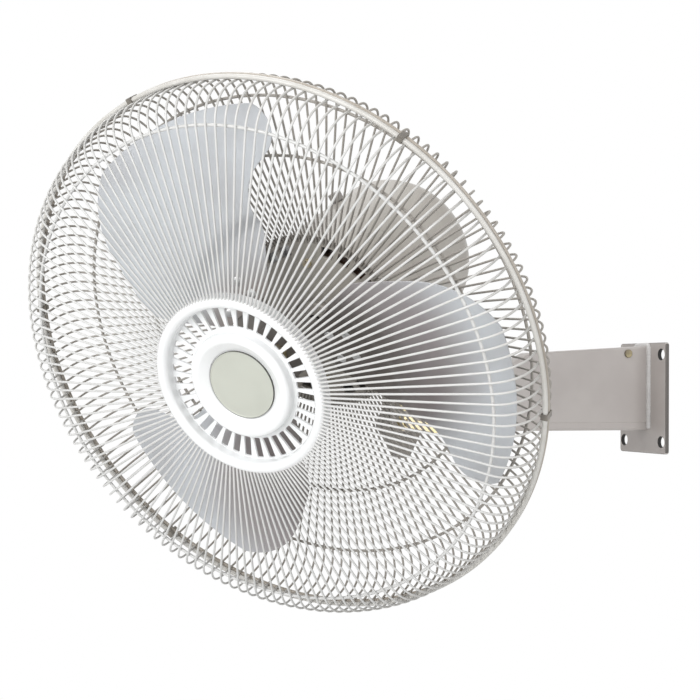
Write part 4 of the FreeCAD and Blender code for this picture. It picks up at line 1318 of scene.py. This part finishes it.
@dataclass(frozen=True)
class HubCap(Assembly):
    """Moulded cap: rounded band, slotted floor, dished boss and its bare badge."""

    outer: float = 95.0
    band_w: float = 12.0
    front: float = 74.0
    floor: float = 61.0
    floor_t: float = 2.2
    slots: int = 36
    slot_in: float = 60.0
    slot_out: float = 82.0
    slot_w: float = 7.5
    slot_corner: float = 1.4
    slot_wall: float = 1.0
    slot_edge: float = 0.05
    boss_r: float = 55.0
    boss_top: float = 71.0
    boss_flare: float = 1.4
    boss_foot: float = 0.1
    boss_land: float = 8.0
    boss_dip: float = 0.2
    badge_r: float = 36.0
    badge_face: float = 65.5
    badge_t: float = 1.8
    badge_land: float = 1.4
    badge_slope: float = 0.5
    badge_sunk: float = 0.35
    badge_gap: float = 1.0
    badge_wall: float = 0.8
    pinhole: float = 0.05
    chamfer: float = 1.0
    chamfer_in: float = 0.3
    crown_steps: int = 16
    steps: int = 192
    well_steps: int = 144
    badge_steps: int = 160

    @property
    def back(self) -> float:
        """Height of the cap's back face."""
        return self.floor - self.floor_t

    @property
    def seat(self) -> float:
        """Height of the seat under the badge."""
        return self.badge_face - self.badge_t

    def settle(self, draft: MeshDraft) -> bpy.types.Object:
        """Turn a draft into a moulded piece of the cap."""
        return draft.settle("head", "cap_white", [Coat.CAP], STANCE.axis)

    def band(self) -> bpy.types.Object:
        """Draw the outer band with its round crown.

        Returns:
            The object.
        """
        back, half = self.back, self.band_w / 2
        crown = [(self.outer - half + half * math.cos(math.pi * k / self.crown_steps),
                  self.front - half + half * math.sin(math.pi * k / self.crown_steps))
                 for k in range(self.crown_steps + 1)]
        profile = [(self.outer - self.band_w, back), (self.outer - self.chamfer, back),
                   (self.outer - self.chamfer_in, back + self.chamfer_in),
                   (self.outer, back + self.chamfer)]
        draft = MeshDraft("cap_band")
        draft.lathe(profile + crown, self.steps)
        return self.settle(draft)

    def grille(self) -> bpy.types.Object:
        """Draw the slotted floor.

        Returns:
            The object.
        """
        half = self.slot_w / 2
        middle, reach = (self.slot_in + self.slot_out) / 2, (self.slot_out - self.slot_in) / 2
        base = rounded([(middle + x * reach, y * half, self.slot_corner) for x, y in CORNERS],
                       closed=True, steps=4)
        holes = [[(x * c - y * s, x * s + y * c) for x, y in base]
                 for c, s in circle(1.0, self.slots)]
        draft = MeshDraft("cap_grille")
        well = circle(self.slot_in - self.slot_wall, self.well_steps)
        draft.slab(circle(self.outer - self.band_w, self.steps), self.back, self.floor,
                   [*holes, well], self.slot_edge)
        return self.settle(draft)

    def boss(self) -> bpy.types.Object:
        """Draw the dished boss with the seat of the badge.

        Returns:
            The object.
        """
        foot, well, seat = self.slot_in - self.slot_wall, self.badge_r + self.badge_gap, self.seat
        profile = rounded([(self.pinhole, self.back, 0), (foot, self.back, 0),
                           (foot, self.floor, 0),
                           (self.boss_r + self.boss_flare, self.floor + self.boss_foot, 1.2),
                           (self.boss_r, self.boss_top, 4.5),
                           (self.boss_r - self.boss_land, self.boss_top - self.boss_dip, 5.0),
                           (well, seat + self.badge_wall, 0.5), (well, seat, 0.3),
                           (self.pinhole, seat, 0)])
        draft = MeshDraft("hub_cap")
        draft.lathe(profile, self.steps)
        return self.settle(draft)

    def badge(self) -> bpy.types.Object:
        """Draw the round badge, left bare within its raised rim.

        Returns:
            The object.
        """
        face, sunk = self.badge_face, self.badge_face - self.badge_sunk
        land = self.badge_r - self.badge_land
        profile = rounded([(self.pinhole, self.seat, 0), (self.badge_r, self.seat, 0),
                           (self.badge_r, face, 0.6), (land, face, 0.4),
                           (land - self.badge_slope, sunk, 0.3), (self.pinhole, sunk, 0)])
        draft = MeshDraft("hub_cap_badge")
        draft.lathe(profile, self.badge_steps)
        return draft.settle("head", "badge_grey", [Coat.BADGE], STANCE.axis)

    def draw(self) -> list[bpy.types.Object]:
        """Draw the whole cap."""
        return [self.band(), self.grille(), self.boss(), self.badge()]


@dataclass(frozen=True)
class Blades(Assembly):
    """Three pressed blades with their rivets, on the cast hub.

    Angles are from a blade's middle line. A blade rises along its turn, the more the further
    out, and a pressed step sets its root back from the paddle.
    """

    dressed: tuple[Dressing, ...] = (
        Dressing("fan_hub", Coat.HUB, 0.4), Dressing("hub_nut", Coat.ZINC, 0.4),
        Dressing("motor_shaft", Coat.STEEL), Dressing("rotor_core", Coat.ALUMINIUM))
    count: int = 3
    phase: float = 87.6
    tip: float = 255.0
    root: float = 58.0
    waist: float = 120.0
    lead: float = 176.0
    trail: float = 140.0
    thick: float = 1.5
    middle: float = -14.5
    rise: float = 34.4
    root_rise: float = 22.0
    rise_from: float = 60.0
    rise_over: float = 90.0
    step: float = 8.0
    step_wide: float = 18.0
    step_at: float = 128.0
    step_lean: float = 0.7
    root_angle: float = 18.0
    root_half: float = 27.0
    root_gap: float = 0.02
    flange_end: float = 62.0
    flange_rows: int = 8
    pace: float = 4.0
    paddle_rows: int = 47
    tip_rows: tuple[float, ...] = (249.0, 252.0, 254.2)
    columns: int = 64
    probe: Pair = (0.5, 0.3)
    corner_steps: int = 24
    edge_out: float = 0.5
    edge_flat: float = 0.4
    rivet: float = 5.0
    rivet_t: float = 1.6
    rivet_lip: float = 0.2
    rivet_sunk: float = 0.3
    rivet_tip: float = 0.3
    rivet_steps: int = 20
    rivet_spots: tuple[Pair, ...] = ((66.0, 13.0), (84.0, 9.0))
    pad: float = 4.0

    def outline(self) -> list[Pair]:
        """Outer edge of a blade before its tip is cut round.

        Returns:
            Points in order.
        """
        corners = [(self.root, self.root_angle - self.root_half, 6), (self.waist, -16.5, 30),
                   (self.lead, -14.5, 50), (self.tip + 13, -34.5, 32), (self.tip + 21, 0, 0),
                   (self.tip + 11, 31, 90), (self.trail, 51, 40),
                   (self.root, self.root_angle + self.root_half, 6)]
        flat = [(r * math.cos(math.radians(a)), r * math.sin(math.radians(a)), corner)
                for r, a, corner in corners]
        return rounded(flat, closed=True, steps=self.corner_steps)

    def height(self, radius: float, angle: float) -> float:
        """Height of a blade's middle surface.

        Args:
            radius: Distance from the axis.
            angle: Degrees from the blade's middle line.

        Returns:
            The height.
        """
        far = ease((radius - self.rise_from) / self.rise_over)
        rise = self.root_rise + (self.rise - self.root_rise) * far
        step = ease((radius - self.step_at + self.step_lean * angle) / self.step_wide + 0.5)
        return self.middle - self.step * (1 - step) + rise * math.radians(angle)

    def at(self, radius: float, angle: float) -> Vector:
        """Return the point of the middle surface at a radius and an angle."""
        c, s = math.cos(math.radians(angle)), math.sin(math.radians(angle))
        return Vector((radius * c, radius * s, self.height(radius, angle)))

    def point(self, radius: float, angle: float, lift: float = 0.0) -> Vector:
        """Point on a blade, moved off its middle surface.

        Args:
            radius: Distance from the axis.
            angle: Degrees from the blade's middle line.
            lift: Distance along the surface's normal.

        Returns:
            The point.
        """
        far, on = self.probe
        outward = self.at(radius + far, angle) - self.at(radius - far, angle)
        onward = self.at(radius, angle + on) - self.at(radius, angle - on)
        return self.at(radius, angle) + outward.cross(onward).normalized() * lift

    def extents(self, radius: float) -> Pair:
        """Angles at which a circle crosses the outline.

        Args:
            radius: Radius of the circle.

        Returns:
            First and last angle in degrees.
        """
        loop = self.outline()
        found = []
        for k, (x, y) in enumerate(loop):
            ahead = loop[(k + 1) % len(loop)]
            near, far = math.hypot(x, y) - radius, math.hypot(*ahead) - radius
            if near * far <= 0 and near != far:
                share = near / (near - far)
                found.append(math.degrees(math.atan2(y + (ahead[1] - y) * share,
                                                     x + (ahead[0] - x) * share)))
        return min(found), max(found)

    def turn(self, index: int) -> Matrix:
        """Return the turn that brings a blade's middle line to its place."""
        return Matrix.Rotation(math.radians(self.phase + 360.0 * index / self.count), 4, "Z")

    def radii(self) -> list[float]:
        """Radii at which a blade is cut into rows, closest at its root and tip.

        Returns:
            Radii in order.
        """
        low = min(math.hypot(x, y) for x, y in self.outline()) + self.root_gap
        flange = [low + (self.flange_end - low) * (k / self.flange_rows) ** 2
                  for k in range(self.flange_rows)]
        paddle = [self.flange_end + self.pace * k for k in range(self.paddle_rows)]
        return [*flange, *paddle, *self.tip_rows, self.tip]

    def blade(self, index: int) -> bpy.types.Object:
        """Draw one blade, with a rounded edge all round.

        Args:
            index: Number of the blade from 0.

        Returns:
            The object.
        """
        count, half, turn = self.columns, self.thick / 2, self.turn(index)
        flat = half * self.edge_flat
        draft = MeshDraft(f"blade_{index + 1}")
        made = []
        for radius in self.radii():
            first, last = self.extents(radius)
            angles = [first + (last - first) * j / count for j in range(count + 1)]
            bulge = math.degrees(half * self.edge_out / radius)
            around = [(a, half) for a in angles]
            around += [(last + bulge, flat), (last + bulge, -flat)]
            around += [(a, -half) for a in reversed(angles)]
            around += [(first - bulge, -flat), (first - bulge, flat)]
            made.append(draft.row([turn @ self.point(radius, a, lift) for a, lift in around]))
        for one, two in zip(made, made[1:]):
            draft.bridge(one, two)
        # each row holds its upper side, two points of an edge, its lower side and two more
        for ring in (made[0], made[-1]):
            for j in range(count):
                draft.face((ring[j], ring[j + 1], ring[2 * count + 2 - j],
                            ring[2 * count + 3 - j]))
            draft.face(ring[count:count + 4])
            draft.face((*ring[2 * count + 3:], ring[0]))
        return draft.settle("rotor", "blade_silver", [Coat.BLADE], STANCE.axis)

    def rivets(self) -> bpy.types.Object:
        """Draw the domed rivet heads on both faces of the root flanges.

        Returns:
            The object.
        """
        draft = MeshDraft("blade_rivets")
        dome = [(self.rivet * math.cos(math.radians(a)), self.rivet_t * math.sin(math.radians(a)))
                for a in range(0, 90, 15)]
        profile = [(self.rivet - self.rivet_lip, -self.rivet_sunk), *dome,
                   (self.rivet_tip, self.rivet_t)]
        spots = [(radius, self.root_angle + sign * off) for radius, off in self.rivet_spots
                 for sign in (-1, 1)]
        faces = ((1.0, self.thick / 2), (-1.0, self.thick / 2 + self.pad))
        for index in range(self.count):
            for radius, angle in spots:
                middle = self.point(radius, angle)
                up = (self.point(radius, angle, 1.0) - middle).normalized()
                for side, seat in faces:
                    tilt = (up * side).to_track_quat("Z", "Y").to_matrix().to_4x4()
                    place = self.turn(index) @ Matrix.Translation(middle + up * seat * side) @ tilt
                    draft.loft([[place @ Vector((x, y, h))
                                 for x, y in circle(r, self.rivet_steps)] for r, h in profile])
        return draft.settle("rotor", "rotor_aluminium", [Coat.ALUMINIUM], STANCE.axis, Edge.SOFT)

    def draw(self) -> list[bpy.types.Object]:
        """Draw the blades and their rivets."""
        return [self.blade(index) for index in range(self.count)] + [self.rivets()]


# ---------------------------------------------------------------- studio
@dataclass(frozen=True)
class Lamp:
    """Square soft light that looks at a point."""

    name: str
    place: Point
    size: float
    power: float
    aim: Point = (0.15, -0.45, -0.02)

    def build(self) -> None:
        """Make the light."""
        data = bpy.data.lights.new(self.name, "AREA")
        data.shape = "SQUARE"
        data.size = self.size
        data.energy = self.power
        made = put(self.name, data)
        made.location = self.place
        ahead = Vector(self.aim) - Vector(self.place)
        made.rotation_euler = ahead.to_track_quat("-Z", "Y").to_euler()


@dataclass(frozen=True)
class Studio:
    """Camera, pale floor, white backdrop and soft lights, in metres and degrees.

    The focal length is in widths of the view. The floor is white to the eye and keeps the
    fan's shadow only near a centre, up to the second of two radii.
    """

    eye: Point = (1.504, -1.021, 0.017)
    azimuth: float = 67.0
    elevation: float = 1.2
    roll: float = -0.42
    focal: float = 1500.0 / 700.0
    sensor: float = 36.0
    floor_gap: float = 0.25
    floor_size: float = 14.0
    floor_pale: Colour = (0.80, 0.80, 0.80)
    floor_speck: Colour = (0.84, 0.84, 0.83)
    floor_rough: float = 0.8
    floor_grain: Pair = (40.0, 3.0)
    shadow_at: Pair = (0.1, -0.4)
    shadow_fade: Pair = (-0.5, 0.85)
    ambient: float = 0.36
    lamps: tuple[Lamp, ...] = (Lamp("key", (1.3, -2.6, 0.7), 1.8, 50.0),
                               Lamp("fill", (2.4, 0.4, 0.6), 1.6, 20.0),
                               Lamp("top", (-0.6, -0.6, 2.2), 1.6, 22.0))

    def camera(self) -> None:
        """Place the camera."""
        data = bpy.data.cameras.new("camera")
        data.sensor_width = self.sensor
        data.lens = self.focal * self.sensor
        turn, rise, roll = (math.radians(a) for a in (self.azimuth, self.elevation, self.roll))
        ahead = Vector((-math.sin(turn) * math.cos(rise), math.cos(turn) * math.cos(rise),
                        math.sin(rise)))
        right = Vector((math.cos(turn), math.sin(turn), 0.0))
        down = ahead.cross(right)
        side = right * math.cos(roll) + down * math.sin(roll)
        low = -right * math.sin(roll) + down * math.cos(roll)
        stand = Matrix((side, -low, -ahead)).transposed().to_4x4()
        made = put("camera", data)
        made.matrix_world = Matrix.Translation(self.eye) @ stand
        bpy.context.scene.camera = made

    def backdrop(self) -> None:
        """Make the world white to the eye and softly grey to everything else."""
        world = bpy.data.worlds.new("studio")
        bpy.context.scene.world = world
        world.use_nodes = True
        graph = Graph(world.node_tree)
        tone = graph.seen().blend((self.ambient,) * 3, WHITE)
        shader = graph.node("ShaderNodeBackground", {}, {"Color": tone, "Strength": 1.0})
        graph.finish("ShaderNodeOutputWorld", shader)

    def floor(self) -> None:
        """Lay a pale floor that is white to the eye except for the shadow near the fan."""
        half, low = self.floor_size / 2, LOADED_BOUNDS[0][2] - self.floor_gap
        mesh = bpy.data.meshes.new("floor")
        mesh.from_pydata([(x * half, y * half, low) for x, y in CORNERS], [], [(0, 1, 2, 3)])
        made = bpy.data.materials.new("floor_pale")
        made.use_nodes = True
        graph = Graph(made.node_tree)
        tone = graph.noise(*self.floor_grain).blend(self.floor_pale, self.floor_speck)
        clear = graph.seen() * graph.radius(centre=self.shadow_at).step(*self.shadow_fade)
        pale = graph.node("ShaderNodeBsdfPrincipled", {},
                          {"Base Color": tone, "Roughness": self.floor_rough})
        white = graph.node("ShaderNodeEmission", {}, {"Color": WHITE, "Strength": 1.0})
        mixed = graph.node("ShaderNodeMixShader", {}, {0: clear, 1: pale, 2: white})
        graph.finish("ShaderNodeOutputMaterial", mixed)
        mesh.materials.append(made)
        put("floor", mesh)

    def build(self) -> None:
        """Set up the whole studio."""
        self.camera()
        self.backdrop()
        self.floor()
        for lamp in self.lamps:
            lamp.build()
        bpy.context.scene.view_settings.view_transform = "Standard"


# ---------------------------------------------------------------- main
def main() -> None:
    """Build every sub-assembly in order and report each piece."""
    logging.basicConfig(level=logging.INFO, format="%(name)s: %(message)s")
    for assembly in (Bracket(), Neck(), Motor(), Guard(), HubCap(), Blades()):
        for piece in assembly.build():
            LOG.info("%s: %s, %d faces", type(assembly).__name__, piece.name,
                     len(piece.data.polygons))
    Studio().build()


if __name__ == "__main__":
    main()
